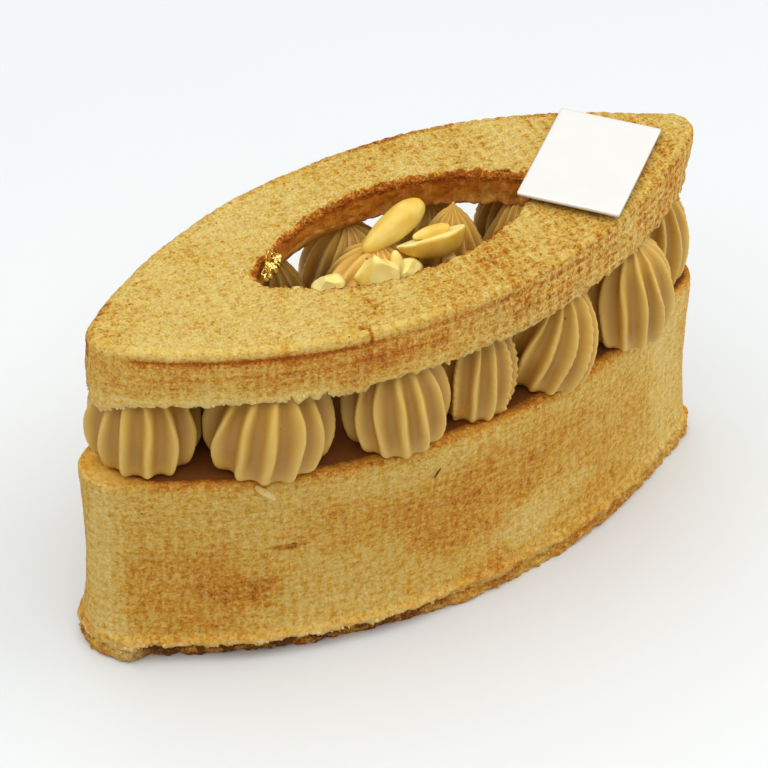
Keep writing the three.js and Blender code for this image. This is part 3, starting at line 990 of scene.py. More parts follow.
flat = flat + outward * side_push[:, None] + inward * window_push[:, None]
flat[:, 2] += lift + is_top * (0.16 * lumps(flat, 9, 47) + 0.10 * lumps(flat, 3, 48))
flat[:, 2] += is_under * (1 - near_edge) * 0.35 * lumps(flat, 2.4, 49)
flat[:, 0] += 0.6 * ramp_up(-flat[:, 0], 48, 57) + 0.2 * right_tip - 1.2 * right_tip * ramp_up(down, 1.5, 7)
flat[:, 2] += 0.7 * right_tip * ramp_up(-down, -7, 0)
print("length of the lid in mm:", round(np.ptp(flat[:, 0]), 1))

# %% [markdown]
# ## Browning of the lid
# The top is browner in front and to the right, the side has a warm band along the crease and a
# second fainter streak below, and the window's rim and wall are toasted dark. One crack runs over
# the front edge. As on the base, it is a sum of soft hills.

# %% Browning of the top and the side
browning = 0.34 + 0.10 * lumps(flat, 8, 51) + 0.08 * lumps(flat, 3, 52)
browning += is_side * (0.10 * ramp_up(down, 0.0, 1.6) + 0.10 * bump_at(down, 0.5, 1.0) * ramp_up(x, -20, 20))
toasted_top = 0.12 * is_top * ramp_up(-flat[:, 1], -8, 3)
browning += (toasted_top + 0.02 * is_side) * ramp_up(x, -32, 6) * (1 - 0.6 * right_tip)
front_side = is_side * front
browning += front_side * 0.16 * ramp_up(s_all, 3, 12) * ramp_up(-s_all, -75, -55) * bump_at(down, 5.2, 2.8)
warm_streak = bump_at(down, 4.6 + 0.2 * along(s_all, 7, 38), 0.3)
warm_streak *= ramp_up(s_all, 16, 24) * ramp_up(-s_all, -66, -56)
browning += warm_streak * is_side * 0.24 * (0.6 + 0.5 * along(s_all, 1.5, 39))
print("browning of the lid:", browning.min().round(2), "to", browning.max().round(2))

# %% Crack over the front edge
across_crack = flat[:, 0] + 15.2 + 0.5 * (flat[:, 1] + 19.5)
along_crack = np.maximum(np.abs(flat[:, 1] + 19.3) - 1.7, 0)
crack = bump_at(np.hypot(across_crack, along_crack), 0, 0.28) * is_top
crack = crack + bump_at(s_all, 44.6, 0.25) * is_side * ramp_up(-down, -2.2, -1.6)
flat[:, 2] -= 0.30 * crack * is_top
flat -= outward * (0.35 * crack * is_side)[:, None]
browning += 0.45 * crack
print("corners in the crack:", int((crack > 0.5).sum()))

# %% Browning of the crease, the lower edge and the window
browning += crease * 0.22 + warm_band * 0.30
browning -= front_side * 0.14 * ramp_up(-over_edge, -3.2, -1.2) * ramp_up(-s_all, -40, -32)
browning += is_side * ~front * 0.15 * ramp_up(lumps(flat, 7, 53), -0.2, 0.6)
wall_top = is_inner * ramp_up(-down + 0.6 * lumps(flat, 1.5, 54), -3.4, -1.9)
wall_top *= ramp_up(down, 0.1, 0.6) * np.where(flat[:, 1] < 0, ramp_up(down, 0.6, 1.6), 1.0)
browning += is_inner * (0.45 + 0.04 * ramp_up(x, 0, 15) - 0.03 * ramp_up(down, 2.0, 3.6)) + wall_top * 0.04
browning += is_under * 0.25
print("browning at the window:", browning[is_inner].mean().round(2), "on average")

# %% Build the lid
calm = is_inner * ramp_up(down, 0.8, 2.0) * 0.9 + is_under + front_side * 0.40 * ramp_up(-s_all, -70, -50)
torn = np.where(is_side, 0.85 * ramp_up(-over_edge, -1.3, -0.1), 0) * ramp_up(lumps(flat, 1.4, 55), -0.5, 0.3)
torn = np.clip(torn + low_window * 0.15, 0, 1)
crumbly = np.where(is_side, ramp_up(-over_edge, -1.2, 0.1), 0)
crumbly += np.where(is_under, ramp_up(-way, -0.10, 0.0), 0)
crumbly = crumbly * (0.6 + 0.4 * ramp_up(s_all, 25, 30) * ramp_up(-s_all, -48, -44)) + 0.10 * at_window
# how much each corner takes the lighter side tones: painted light on the lid's sides and on the window's
# wall, most on its upper band
side = is_inner * (0.55 + 0.45 * wall_top)
side = side + is_side * ramp_up(down, -0.2, 1.3) * (0.9 + 0.1 * front * ramp_up(s_all, 50, 80))
marks = in_rings(rings, browning=browning, torn=torn, crumbly=crumbly, calm=calm, side=side)
mat_round = CELLS_ROUND_LID * MAT_ACROSS
rings = flat.reshape(rings.shape)
lid_crust = skin_of_rings("lid_crust", rings, marks, closes=True, mat=mats, mat_round=mat_round)
close_and_smooth(lid_crust)
grow(lid_crust, print_tree, {"Height": 0.22, "Unevenness": 0.26, "Crust": grainy_crust})
finish_piece(lid_crust, grainy_crust, "root", ["lid"])

# %% [markdown]
# ## Crumbs, with Geometry Nodes
# Torn dough sheds crumbs along the lower edge of the lid and under the base's lip. They are far
# too many to place by hand. The tree scatters points where the mesh remembers that it is crumbly,
# puts a small angular ball on each, turns and stretches it by chance, and roughens them all.

# %% Crumb tree
crumb_tree, given, result = new_tree("crumbs", [
    ("Per square mm", FLOAT, 1.0),
    ("Smallest", FLOAT, 0.16),
    ("Largest", FLOAT, 0.45),
    ("Seed", WHOLE, 1),
    ("Crumb", FINISH, None),
])
PER_SQUARE_METRE = 1e6
FULL_TURN = 6.28


def random_value(tree, kind, low, high, seed, which=None):
    """A fixed random number or vector for each point, or for each value of `which`."""
    node = add_node(tree, "FunctionNodeRandomValue", {"data_type": kind})
    sockets = {s.name: s for s in node.inputs if s.enabled}
    for name, value in (("Min", low), ("Max", high), ("ID", which), ("Seed", seed)):
        if value is not None:
            link(tree, value, sockets[name])
    return Field(tree, next(s for s in node.outputs if s.enabled))


def same_three(tree, value):
    """A vector with the same number three times."""
    return add_node(tree, "ShaderNodeCombineXYZ", X=value, Y=value, Z=value).outputs[0]


crumbly_field = Field(crumb_tree, named_attribute(crumb_tree, "crumbly", "FLOAT"))
density = crumbly_field * given["Per square mm"] * PER_SQUARE_METRE
scatter = add_node(crumb_tree, "GeometryNodeDistributePointsOnFaces", {"distribute_method": "RANDOM"},
                   Mesh=given["Geometry"], Density=density, Seed=given["Seed"])
grit = add_node(crumb_tree, "GeometryNodeMeshIcoSphere", Radius=MM, Subdivisions=1)
sizes = [same_three(crumb_tree, given[name]) for name in ("Smallest", "Largest")]
crumb_size = random_value(crumb_tree, "FLOAT_VECTOR", *sizes, given["Seed"] + 1)
crumb_turn = random_value(crumb_tree, "FLOAT_VECTOR", (0.0, 0.0, 0.0), (FULL_TURN,) * 3, given["Seed"] + 2)
crumbs = add_node(crumb_tree, "GeometryNodeInstanceOnPoints", Points=scatter.outputs["Points"],
                  Instance=grit.outputs["Mesh"], Scale=crumb_size, Rotation=crumb_turn)
whole = add_node(crumb_tree, "GeometryNodeRealizeInstances", Geometry=crumbs.outputs[0])
dent = add_node(crumb_tree, "ShaderNodeTexNoise", Scale=1 / (0.5 * MM), Detail=2.0)
centred = add_node(crumb_tree, "ShaderNodeVectorMath", {"operation": "SUBTRACT"})
crumb_tree.links.new(dent.outputs["Color"], centred.inputs[0])
centred.inputs[1].default_value = (0.5, 0.5, 0.5)
dented = add_node(crumb_tree, "ShaderNodeVectorMath", {"operation": "SCALE"},
                  Vector=centred.outputs[0], Scale=0.5 * MM)
move = add_node(crumb_tree, "GeometryNodeSetPosition", Geometry=whole.outputs[0], Offset=dented.outputs[0])
end_tree(crumb_tree, move.outputs[0], given["Crumb"], result)
print("crumb tree has", len(crumb_tree.nodes), "nodes")

# %% Crumb finish and crumbs
crumb_finish, tree, shader = new_material("crumb")
tint = mottle(tree, 0.8, 2.0, 0.6, seed=0.19)
heat = remembered(tree, "browning") * 0.9 + (tint - 0.5) * 1.3
crumb_colour = colours(tree, heat, [
    (0.1, (0.90, 0.74, 0.38)), (0.35, (0.78, 0.55, 0.17)),
    (0.7, (0.50, 0.25, 0.045)), (1.0, (0.26, 0.10, 0.02)),
])
set_inputs(tree, shader, Base_Color=crumb_colour, Roughness=0.8, Specular_IOR_Level=0.15)


def scatter_crumbs(name, source, per_square_mm, smallest, largest, seed):
    """Crumbs of these sizes in mm where a piece's mesh is crumbly."""
    piece = bpy.data.objects.new(name, source.data.copy())
    scene.collection.objects.link(piece)
    grow(piece, crumb_tree, {
        "Per square mm": per_square_mm,
        "Smallest": smallest,
        "Largest": largest,
        "Seed": seed,
        "Crumb": crumb_finish,
    })
    print(name, "faces", len(piece.data.polygons))
    finish_piece(piece, crumb_finish, "root")


scatter_crumbs("lid_crumbs", lid_crust, 1.1, 0.12, 0.34, 3)
scatter_crumbs("foot_crumbs", base_crust, 1.1, 0.14, 0.42, 5)

# %% [markdown]
# ## Finish: praline cream
# Praline mousseline is dense, satin and a little translucent, with specks of ground nut skin.
# Light goes a millimetre or so into it, so subsurface scattering keeps its grooves warm. Its colour also
# carries painted light: a painted highlight on the crests of the ridges and painted shade in the grooves.
# Deep between the rosettes under the window hardly any light comes back, and the cream there is darkened
# further with painted shade.

# %% Cream finish
cream, tree, shader = new_material("praline_cream")
clouds = mottle(tree, 5.0, 2.0, 0.5, seed=0.41)
fine = mottle(tree, 0.5, 3.0, 0.6, seed=0.53)
# painted light from the mark "hollow": crests lighter as a painted highlight, grooves darker as painted shade
groove = remembered(tree, "hollow") + (clouds - 0.5) * 0.25 + (fine - 0.5) * 0.12
cream_colour = colours(tree, groove, [
    (0.0, (0.79, 0.515, 0.120)), (0.35, (0.667, 0.398, 0.073)),
    (0.80, (0.521, 0.275, 0.047)), (1.0, (0.48, 0.246, 0.041)),
])
nut_skin = (0.15, 0.055, 0.015)
cream_colour = add_specks(tree, cream_colour, 2.4, (0.31, 0.17, 0.05), (0.06, 0.11), (0.72, 0.78), nut_skin)
spot_x, spot_y, spot_z = split_vector(tree, place_of(tree))
# painted shade deep under the window: low, near the middle line, and not past the window's ends
deep_painted_shade = spot_z.between(49 * MM, 57 * MM, 1.0, 0.0) * spot_y.abs().between(7 * MM, 14 * MM, 1.0, 0.0)
deep_painted_shade = deep_painted_shade * (spot_x + 7 * MM).abs().between(20 * MM, 25 * MM, 1.0, 0.0)
cream_colour = blend_colours(tree, deep_painted_shade * 0.75, cream_colour, (0.13, 0.045, 0.015))
set_inputs(tree, shader, Base_Color=cream_colour, Roughness=0.48, Specular_IOR_Level=0.35,
           Subsurface_Weight=0.20, Subsurface_Radius=(1.0, 0.5, 0.15), Subsurface_Scale=0.6 * MM)
relief(tree, shader, fine, 0.05)
print("cream finish ready")

# %% [markdown]
# ## Rosettes, with Geometry Nodes
# A star nozzle with thirteen teeth draws a dome with rounded ridges and wide hollow grooves, and a
# small turn of the wrist twists them. By hand no two ridges are alike, so each one stands out,
# leans and frills by a chance of its own. That is a rule, so a Geometry Nodes tree writes it down
# once: a grid is wrapped round an axis, two curves give its width and height from foot to peak,
# and a cosine sinks the grooves. Each rosette is the same tree with other numbers.

# %% Rosette tree
rosette_tree, given, result = new_tree("piped_rosette", [
    ("Radius", FLOAT, 8.0),
    ("Height", FLOAT, 20.0),
    ("Ridges", WHOLE, 13),
    ("Groove", FLOAT, 0.20),
    ("Slim", FLOAT, 0.0),
    ("Twist", FLOAT, 0.03),
    ("Turn", FLOAT, 0.0),
    ("Frill", FLOAT, 0.14),
    ("Seed", WHOLE, 1),
    ("Cream", FINISH, None),
])
ROWS, STEPS_PER_RIDGE = 76, 14
columns = given["Ridges"] * STEPS_PER_RIDGE + 1
grid = add_node(rosette_tree, "GeometryNodeMeshGrid", Size_X=1.0, Size_Y=1.0,
                Vertices_X=columns, Vertices_Y=ROWS)
place = rosette_tree.nodes.new("GeometryNodeInputPosition")
flat_x, flat_y, _ = split_vector(rosette_tree, place.outputs[0])
round_share, up_share = flat_x + 0.5, flat_y + 0.5
print("rosette grid:", ROWS, "rows,", STEPS_PER_RIDGE, "steps for each ridge")

# %% Dome of a rosette
# (way up the skin, share of the radius, share of the height)
DOME = [
    (0, 0, 0), (0.08, 0.71, 0), (0.12, 0.82, 0.025), (0.21, 0.94, 0.14), (0.36, 1, 0.33),
    (0.54, 0.95, 0.54), (0.72, 0.77, 0.73), (0.86, 0.46, 0.87), (0.94, 0.19, 0.94), (1, 0, 1),
]


def drawn_curve(tree, field, points):
    """A curve drawn through points, as a field."""
    node = tree.nodes.new("ShaderNodeFloatCurve")
    curve = node.mapping.curves[0]
    for x, y in points[1:-1]:
        curve.points.new(x, y)
    curve.points[0].location = points[0]
    curve.points[-1].location = points[-1]
    node.mapping.update()
    link(tree, field, node.inputs["Value"])
    return Field(tree, node.outputs[0])


width = drawn_curve(rosette_tree, up_share, [(way, wide) for way, wide, _ in DOME])
height = drawn_curve(rosette_tree, up_share, [(way, tall) for way, _, tall in DOME])
width = width * (1.0 - given["Slim"] * height.between(0.30, 0.80, 0.0, 1.0))
rise = height * given["Height"]
print("dome drawn through", len(DOME), "points")

# %% Ridges, grooves and the chance of each ridge
ridge_id = (round_share * given["Ridges"] + 0.5).floor().math("MODULO", given["Ridges"])


def chance(offset, low, high):
    """A fixed random number for each ridge."""
    return random_value(rosette_tree, "FLOAT", low, high, given["Seed"] + offset, ridge_id)


crest_wave = (round_share * given["Ridges"] * math.pi).cos()
hollow = 1.0 - (crest_wave * crest_wave) ** 1.7
crest = (1.0 - hollow) ** 2.0
stand_out = chance(0, -0.03, 0.03)
phase = chance(7, 0.0, FULL_TURN)
frilly = chance(13, 0.2, 1.0)
aside = chance(29, -0.09, 0.09)
frills = (rise * 3.9 + phase).sin() + (rise * 6.1 + phase * 2.0).sin() * 0.5
wobble = frills * crest * frilly * given["Frill"]
waver = ((rise * 0.45 + phase).sin() * 0.07 + aside) * (1.0 - hollow)
# painted shade for the cream's grooves, lighter at the foot and near the peak; the crests stay light as a
# painted highlight
groove_painted_shade = hollow * height.between(0.0, 0.30, 0.60, 1.0) * height.between(0.62, 0.88, 1.0, 0.45)
depth = hollow * given["Groove"] * height.between(0.0, 0.22, 0.55, 1.0)
reach = given["Radius"] * width * (1.0 - depth + crest * stand_out) + wobble * width
angle = (round_share + given["Twist"] * height + given["Turn"]) * (2 * math.pi) + waver * height
print("ridges ready after", len(rosette_tree.nodes), "nodes")

# %% Bend the grid into the rosette
# The painted shade of the grooves is stored before the grid is bent, because it is worked out from its flat
# place.
keep = add_node(rosette_tree, "GeometryNodeStoreNamedAttribute", {"data_type": "FLOAT", "domain": "POINT"},
                Geometry=grid.outputs["Mesh"], Name="hollow")
link(rosette_tree, groove_painted_shade, next(s for s in keep.inputs if s.name == "Value" and s.enabled))
out = add_node(rosette_tree, "ShaderNodeCombineXYZ",
               X=reach * angle.cos() * MM, Y=reach * angle.sin() * MM, Z=rise * MM)
bend = add_node(rosette_tree, "GeometryNodeSetPosition", Geometry=keep.outputs[0], Position=out.outputs[0])
weld = add_node(rosette_tree, "GeometryNodeMergeByDistance", Geometry=bend.outputs[0], Distance=0.01 * MM)
whole = add_node(rosette_tree, "GeometryNodeRealizeInstances", Geometry=weld.outputs[0])
end_tree(rosette_tree, whole.outputs[0], given["Cream"], result)
print("rosette tree has", len(rosette_tree.nodes), "nodes")

# %% [markdown]
# ## Pressed rosettes
# Where two rosettes press against each other, both go flat on the plane between them, and where
# the lid rests on one, it goes flat under the dough. The tree can't know the neighbours, so the
# squeeze is done on its plain mesh. A ray shot upwards from each corner finds the lid.

# %% Squeeze between neighbours and under the lid
# name, x, y, radius, height, twist, turn, frill
ROSETTES = [
    ("01", -44.6, 0.4, 9.2, 19.0, 0.02, 0.067, 0.02), ("02", -28.0, -9.0, 10.3, 20.0, 0.05, 0.046, 0.03),
    ("03", -8.0, -14.2, 8.6, 20.0, -0.05, 0.02, 0.04), ("04", 6.4, -13.4, 7.2, 20.0, 0.02, 0.055, 0.17),
    ("05", 21.0, -12.8, 8.0, 20.0, 0.15, -0.021, 0.15), ("06", 37.4, -9.6, 7.7, 20.5, -0.04, 0.055, 0.08),
    ("07", 48.0, 0.8, 7.2, 20.0, 0.03, 0.02, 0.10), ("08", 38.8, 6.8, 6.0, 20.0, 0.04, 0.05, 0.06),
    ("09", 28.8, 11.4, 6.6, 20.0, -0.03, 0.01, 0.08), ("10", 13.6, 13.6, 7.4, 20.0, 0.04, 0.03, 0.05),
    ("11", -1.4, 13.6, 7.8, 21.0, 0.03, 0.06, 0.08), ("12", -15.6, 12.4, 5.8, 20.0, -0.04, 0.0, 0.12),
    ("13", -23.0, 11.4, 5.6, 19.0, 0.04, 0.04, 0.05), ("14", -30.8, 8.4, 7.2, 18.5, 0.05, 0.02, 0.06),
    ("15", -20.8, 0.8, 6.0, 14.6, 0.03, 0.05, 0.05), ("16", -2.6, 1.9, 9.2, 25.6, 0.06, 0.03, 0.04),
    ("17", 12.2, 3.3, 8.3, 26.7, 0.05, 0.01, 0.10), ("18", 24.8, 2.9, 7.4, 25.2, -0.05, 0.04, 0.08),
]
SLIM_ROSETTES, SLIM = ("17", "18"), 0.32  # these two are drawn up thin, by this share
SEAM = 0.12  # half the gap between two rosettes
LID_GAP = 0.12  # gap under the dough
NEAR_LID, RAY_START, OPEN_SKY = 50.0, 45.0, 99.0
WINDOW_GAP, WINDOW_RISE = 0.2, 2.2  # how much higher cream may stand in the window, and its slope
lid_tree = BVHTree.FromObject(lid_crust, bpy.context.evaluated_depsgraph_get())


def in_window(points):
    """How far inside the window's outline each point is, in mm; negative outside."""
    half = window_line[:, 1] > 0
    order = np.argsort(window_line[half][:, 0])
    x_line, y_line = window_line[half][order].T
    reach = np.interp(points[:, 0], x_line, y_line, left=0.0, right=0.0)
    return reach - np.abs(points[:, 1])


def squeeze(points, which):
    """Presses a rosette's points flat against its neighbours."""
    x, y, radius = ROSETTES[which][1:4]
    flat = points[:, :2]
    share = np.ones(len(points))
    for other, (_, ox, oy, other_radius, *_) in enumerate(ROSETTES):
        towards = np.array([ox - x, oy - y])
        apart = np.linalg.norm(towards)
        if other == which or apart > radius + other_radius + 2:
            continue
        wall = (apart**2 + radius**2 - other_radius**2) / (2 * apart) - SEAM
        past = flat @ (towards / apart)
        share = np.minimum(share, np.where(past > 0.01, wall / np.maximum(past, 0.01), 1.0))
    return flat * share[:, None]


def keep_under_lid(points):
    """Lowers the points that stand in the lid or too high in its window."""
    inside = in_window(points)
    for i in np.nonzero(points[:, 2] > NEAR_LID)[0]:
        start = Vector((points[i, 0], points[i, 1], RAY_START)) * MM
        hit = lid_tree.ray_cast(start, Vector((0, 0, 1)))[0]
        roof = hit.z / MM - LID_GAP if hit is not None else OPEN_SKY
        if inside[i] > 0:
            roof = min(roof, lid_under(points[i, 0]) + ARCH + WINDOW_GAP + WINDOW_RISE * inside[i])
        points[i, 2] = min(points[i, 2], roof)


print(len(ROSETTES), "rosettes to pipe")

# %% Pipe the rosettes
PIPED_WIDER, FOOT_SINK = 1.02, 0.1  # so that neighbours press each other, and none floats

for which, (label, x, y, radius, tall, twist, turn, frill) in enumerate(ROSETTES):
    rosette = bpy.data.objects.new("rosette_cream_" + label, bpy.data.meshes.new("start"))
    scene.collection.objects.link(rosette)
    grow(rosette, rosette_tree, {
        "Radius": radius * PIPED_WIDER,
        "Height": tall,
        "Slim": SLIM if label in SLIM_ROSETTES else 0.0,
        "Twist": twist,
        "Turn": turn,
        "Frill": frill,
        "Seed": 20 + which,
        "Cream": cream,
    })
    points = corners_of(rosette)
    rise = points[:, 2].copy()
    points[:, :2] = squeeze(points, which) + (x, y)
    points += (0.10 * lumps(points, 2.5, 60 + which) * ramp_up(rise, 0.5, 3))[:, None] * (1, 1, 0.3)
    points[:, 2] = base_top(points[:, 0]) - FOOT_SINK + rise
    keep_under_lid(points)
    set_corners(rosette, points)
    close_and_smooth(rosette, join=False)
    finish_piece(rosette, cream, "root", ["rosette_" + label])

# %% [markdown]
# ## Finish: blanched nuts
# A blanched nut is yellow and a little oily outside, and paler where it was split or broken. The
# mesh remembers which faces are cut, and light goes a millimetre or so into the flesh.

# %% Nut finish
nut_finish, tree, shader = new_material("blanched_nut")
clouds = mottle(tree, 3.5, 2.0, 0.5, seed=0.61)
pale = remembered(tree, "cut") * 0.62 + (clouds - 0.5) * 0.5
nut_colour = colours(tree, pale, [
    (0.0, (0.62, 0.33, 0.028)), (0.25, (0.78, 0.52, 0.070)),
    (0.55, (0.90, 0.74, 0.24)), (0.9, (0.96, 0.88, 0.46)),
])
set_inputs(tree, shader, Base_Color=nut_colour, Roughness=0.40,
           Subsurface_Weight=0.25, Subsurface_Radius=(1.0, 0.6, 0.2), Subsurface_Scale=1.2 * MM)
relief(tree, shader, mottle(tree, 0.35, 2.0, 0.5, seed=0.7), 0.04)
print("nut finish ready")

# %% [markdown]
# ## Nuts and other small morsels
# Each nut is laid from one end to the other. A whole one is a blunt egg. A half has one flat
# side, a slice is a thin lens, and a chunk is broken along flat faces and rises to a peak. The
# piped tail of cream between them is a long drop with seven ridges, and a curl of dough and a
# scorched sliver are thin lenses too. They could each be modelled by hand. Here each starts as a
# fine ball whose points are pulled to those shapes, and is then stretched from end to end.

# %% Shapes pulled from a ball
CHUNK_FACES, TAIL_RIDGES = 9, 7
# the mark of a shape's mesh where that isn't "cut", and its value on the thin shapes
MARK_NAMES = {"ridged": "hollow", "curl": "browning", "sliver": "browning"}
THIN_MARKS = {"slice": 0.5, "curl": 0.05, "sliver": 1.4}


def ball(name):
    """A fine ball of radius 1, to be pulled to shape."""
    work = bmesh.new()
    bmesh.ops.create_icosphere(work, subdivisions=4, radius=1.0)
    mesh = bpy.data.meshes.new(name)
    work.to_mesh(mesh)
    work.free()
    piece = bpy.data.objects.new(name, mesh)
    scene.collection.objects.link(piece)
    return piece


def broken(p, cut, seed):
    """Cuts flat faces off the ball by chance and draws its top to a peak."""
    rng = np.random.default_rng(seed)
    for _ in range(CHUNK_FACES):
        face = rng.normal(size=3)
        face /= np.linalg.norm(face)
        past = np.maximum(p @ face - rng.uniform(0.60, 0.82), 0)
        p -= past[:, None] * face * 0.94
        cut = np.maximum(cut, 0.9 * ramp_up(past, 0, 0.03))
    p[:, :2] *= 1.2 - 0.55 * p[:, 2:].clip(0)
    return p * (1 + 0.05 * lumps(p * 3, 1, seed + 10))[:, None] * 1.12, cut


def egg(p, blunt, taper, seed):
    """Makes the ball thicker towards its first end, and blunt there if asked."""
    if blunt:
        p[:, 0] = np.where(p[:, 0] > 0, p[:, 0].clip(0) ** 0.72, p[:, 0])
    p[:, 1:] *= 1 + taper * p[:, :1]
    return p * (1 + 0.04 * lumps(p * 2, 1, seed + 10))[:, None]


def split_lengthwise(p, cut):
    """Flattens the upper side, with a shallow groove along it and both ends bent up."""
    groove = 0.10 * bump_at(p[:, 1], 0, 0.3) * (1 - p[:, 0] ** 2).clip(0)
    cut = np.where(p[:, 2] > 0, 0.9, cut)
    p[:, 2] = np.where(p[:, 2] > 0, 0.10 * p[:, 2] - groove, 1.6 * p[:, 2]) + 0.35
    p[:, 2] += 0.10 * p[:, 0] ** 2
    return cut


def lay_ends(p, one, other, width, thick, roll):
    """Stretches the ball to its sizes in mm and lays it from one end to the other."""
    one, other = np.array(one), np.array(other)
    lengthwise = one - other
    half = np.array([np.linalg.norm(lengthwise), width, thick]) / 2
    ahead = lengthwise / np.linalg.norm(lengthwise)
    up = (0, 0, 1) if abs(ahead[2]) < 0.8 else (0, 1, 0)
    aside = np.cross(up, ahead)
    aside /= np.linalg.norm(aside)
    above = np.cross(ahead, aside)
    a = math.radians(-roll)
    aside, above = aside * math.cos(a) + above * math.sin(a), above * math.cos(a) - aside * math.sin(a)
    return (p * half) @ np.array([ahead, aside, above]) + (one + other) / 2


def lay_nut(name, shape, one, other, width, thick, roll, seed):
    """A nut, or another small morsel, of that shape from one end to the other."""
    nut = ball(name)
    p = corners_of(nut) * MM
    # small bits are broken nearly all over, and a half keeps its skin on the round side
    cut = np.full(len(p), 0.75 if width < 4 else 0.25 if shape == "half" else 0.50)
    if shape == "chunk":
        p, cut = broken(p, cut, seed)
    else:
        p = egg(p, shape == "whole" and width > 4, 0.24 if shape == "half" else 0.14, seed)
    if shape == "half":
        cut = split_lengthwise(p, cut)
    elif shape == "ridged":
        around = np.cos(TAIL_RIDGES * (np.arctan2(p[:, 2], p[:, 1]) + 0.5 * p[:, 0]))
        p[:, 1:] *= (1 + 0.13 * around)[:, None]
        # the tail's mark "hollow": its ridges lighter as a painted highlight, its grooves darker as painted
        # shade
        cut = 0.58 - 0.27 * around
    elif shape in THIN_MARKS:
        cut[:] = THIN_MARKS[shape]
        p[:, 2] *= (1 - 0.5 * p[:, 1] ** 2).clip(0.2)
    mark = nut.data.attributes.new(MARK_NAMES.get(shape, "cut"), "FLOAT", "POINT")
    mark.data.foreach_set("value", cut.astype(np.float32))
    set_corners(nut, lay_ends(p, one, other, width, thick, roll))
    close_and_smooth(nut)
    return nut


# %% Lay the nuts
# name, shape, blunt end, other end, width, thickness, roll in degrees
NUTS = [
    ("01", "whole", (7.3, 4.8, 63.0), (-5.2, 1.3, 60.4), 4.9, 4.4, 0),
    ("02", "half", (11.6, -2.2, 60.6), (-0.2, -0.7, 59.6), 4.6, 4.4, 30),
    ("03", "slice", (9.0, -1.1, 61.8), (2.8, -0.2, 61.1), 2.2, 1.2, -20),
    ("04", "chunk", (-7.6, -1.4, 58.7), (-2.0, -4.2, 58.5), 5.2, 7.4, 0),
    ("05", "whole", (-1.3, -1.5, 61.1), (-1.1, -3.7, 57.0), 1.9, 1.9, 0),
    ("06", "chunk", (-1.3, -3.0, 57.8), (2.3, -3.3, 57.8), 3.2, 3.6, 10),
    ("07", "whole", (9.7, -2.1, 55.8), (7.2, -2.5, 55.4), 2.7, 3.0, 0),
    ("08", "chunk", (-14.8, -0.6, 58.2), (-10.8, -1.9, 58.6), 3.8, 3.8, 20),
]
for which, (label, *rest) in enumerate(NUTS):
    nut = lay_nut("blanched_nut_" + label, *rest, 200 + which)
    finish_piece(nut, nut_finish, "root", ["nut_" + label])
tail = lay_nut("piped_cream_tail", "ridged", (-2.6, 0.8, 58.6), (-14.4, -1.6, 55.9), 5.4, 5.2, 0, 230)
finish_piece(tail, cream, "root", ["cream_tail"])
bit = lay_nut("nut_bit_b", "chunk", (-17.4, 2.6, 56.2), (-15.6, 2.4, 56.2), 1.5, 2.6, 30, 240)
finish_piece(bit, nut_finish, "root")

# %% [markdown]
# ## Curl and sliver on the base
# A curl of dough hangs over the front rim, and further along a scorched sliver sticks to the
# wall. Both have to touch the uneven wall, so each end looks for the nearest corner of the finished
# base and stands a little proud of it.

# %% Curl and sliver on the base
skin_of_base = corners_of(base_crust)


def spot_on_base(distance, height, proud):
    """The base's corner nearest to a distance along its wall and a height, moved out by proud mm."""
    spot = np.array([np.interp(distance, base_s, c) for c in base_line.T] + [height])
    out = np.array([np.interp(distance, base_s, c) for c in base_out.T] + [0.0])
    return skin_of_base[np.linalg.norm(skin_of_base - spot, axis=1).argmin()] + proud * out


curl_ends = spot_on_base(27.8, 36.2, 0.3), spot_on_base(30.8, 33.4, 0.7)
curl = lay_nut("dough_curl", "curl", *curl_ends, 1.3, 1.2, 0, 250)
finish_piece(curl, crust, "root")
sliver_ends = spot_on_base(57.5, 29.3, 0.1), spot_on_base(58.6, 30.8, 0.1)
sliver = lay_nut("scorched_sliver", "sliver", *sliver_ends, 0.32, 0.3, 0, 251)
finish_piece(sliver, crust, "root")
print("the base carries", curl.name, "and", sliver.name)

# %% [markdown]
# ## Gold leaf
# A scrap of gold leaf clings to the window's left end. Leaf is so thin that it crumples at a
# touch. Cloth simulation could crumple a sheet, but a scrap this small needs only a ragged disc,
# folded by lumps of several sizes. It is skinned as two faces a hair apart, and its metal is nearly
# a mirror.

# %% Gold leaf
gold, tree, shader = new_material("gold_leaf")
glint = mottle(tree, 0.7, 3.0, 0.6, seed=0.29)
gold_colour = colours(tree, glint, [(0.35, (0.62, 0.36, 0.05)), (0.6, (1.0, 0.80, 0.26))])
set_inputs(tree, shader, Base_Color=gold_colour, Metallic=1.0, Roughness=0.22)
relief(tree, shader, glint, 0.15)

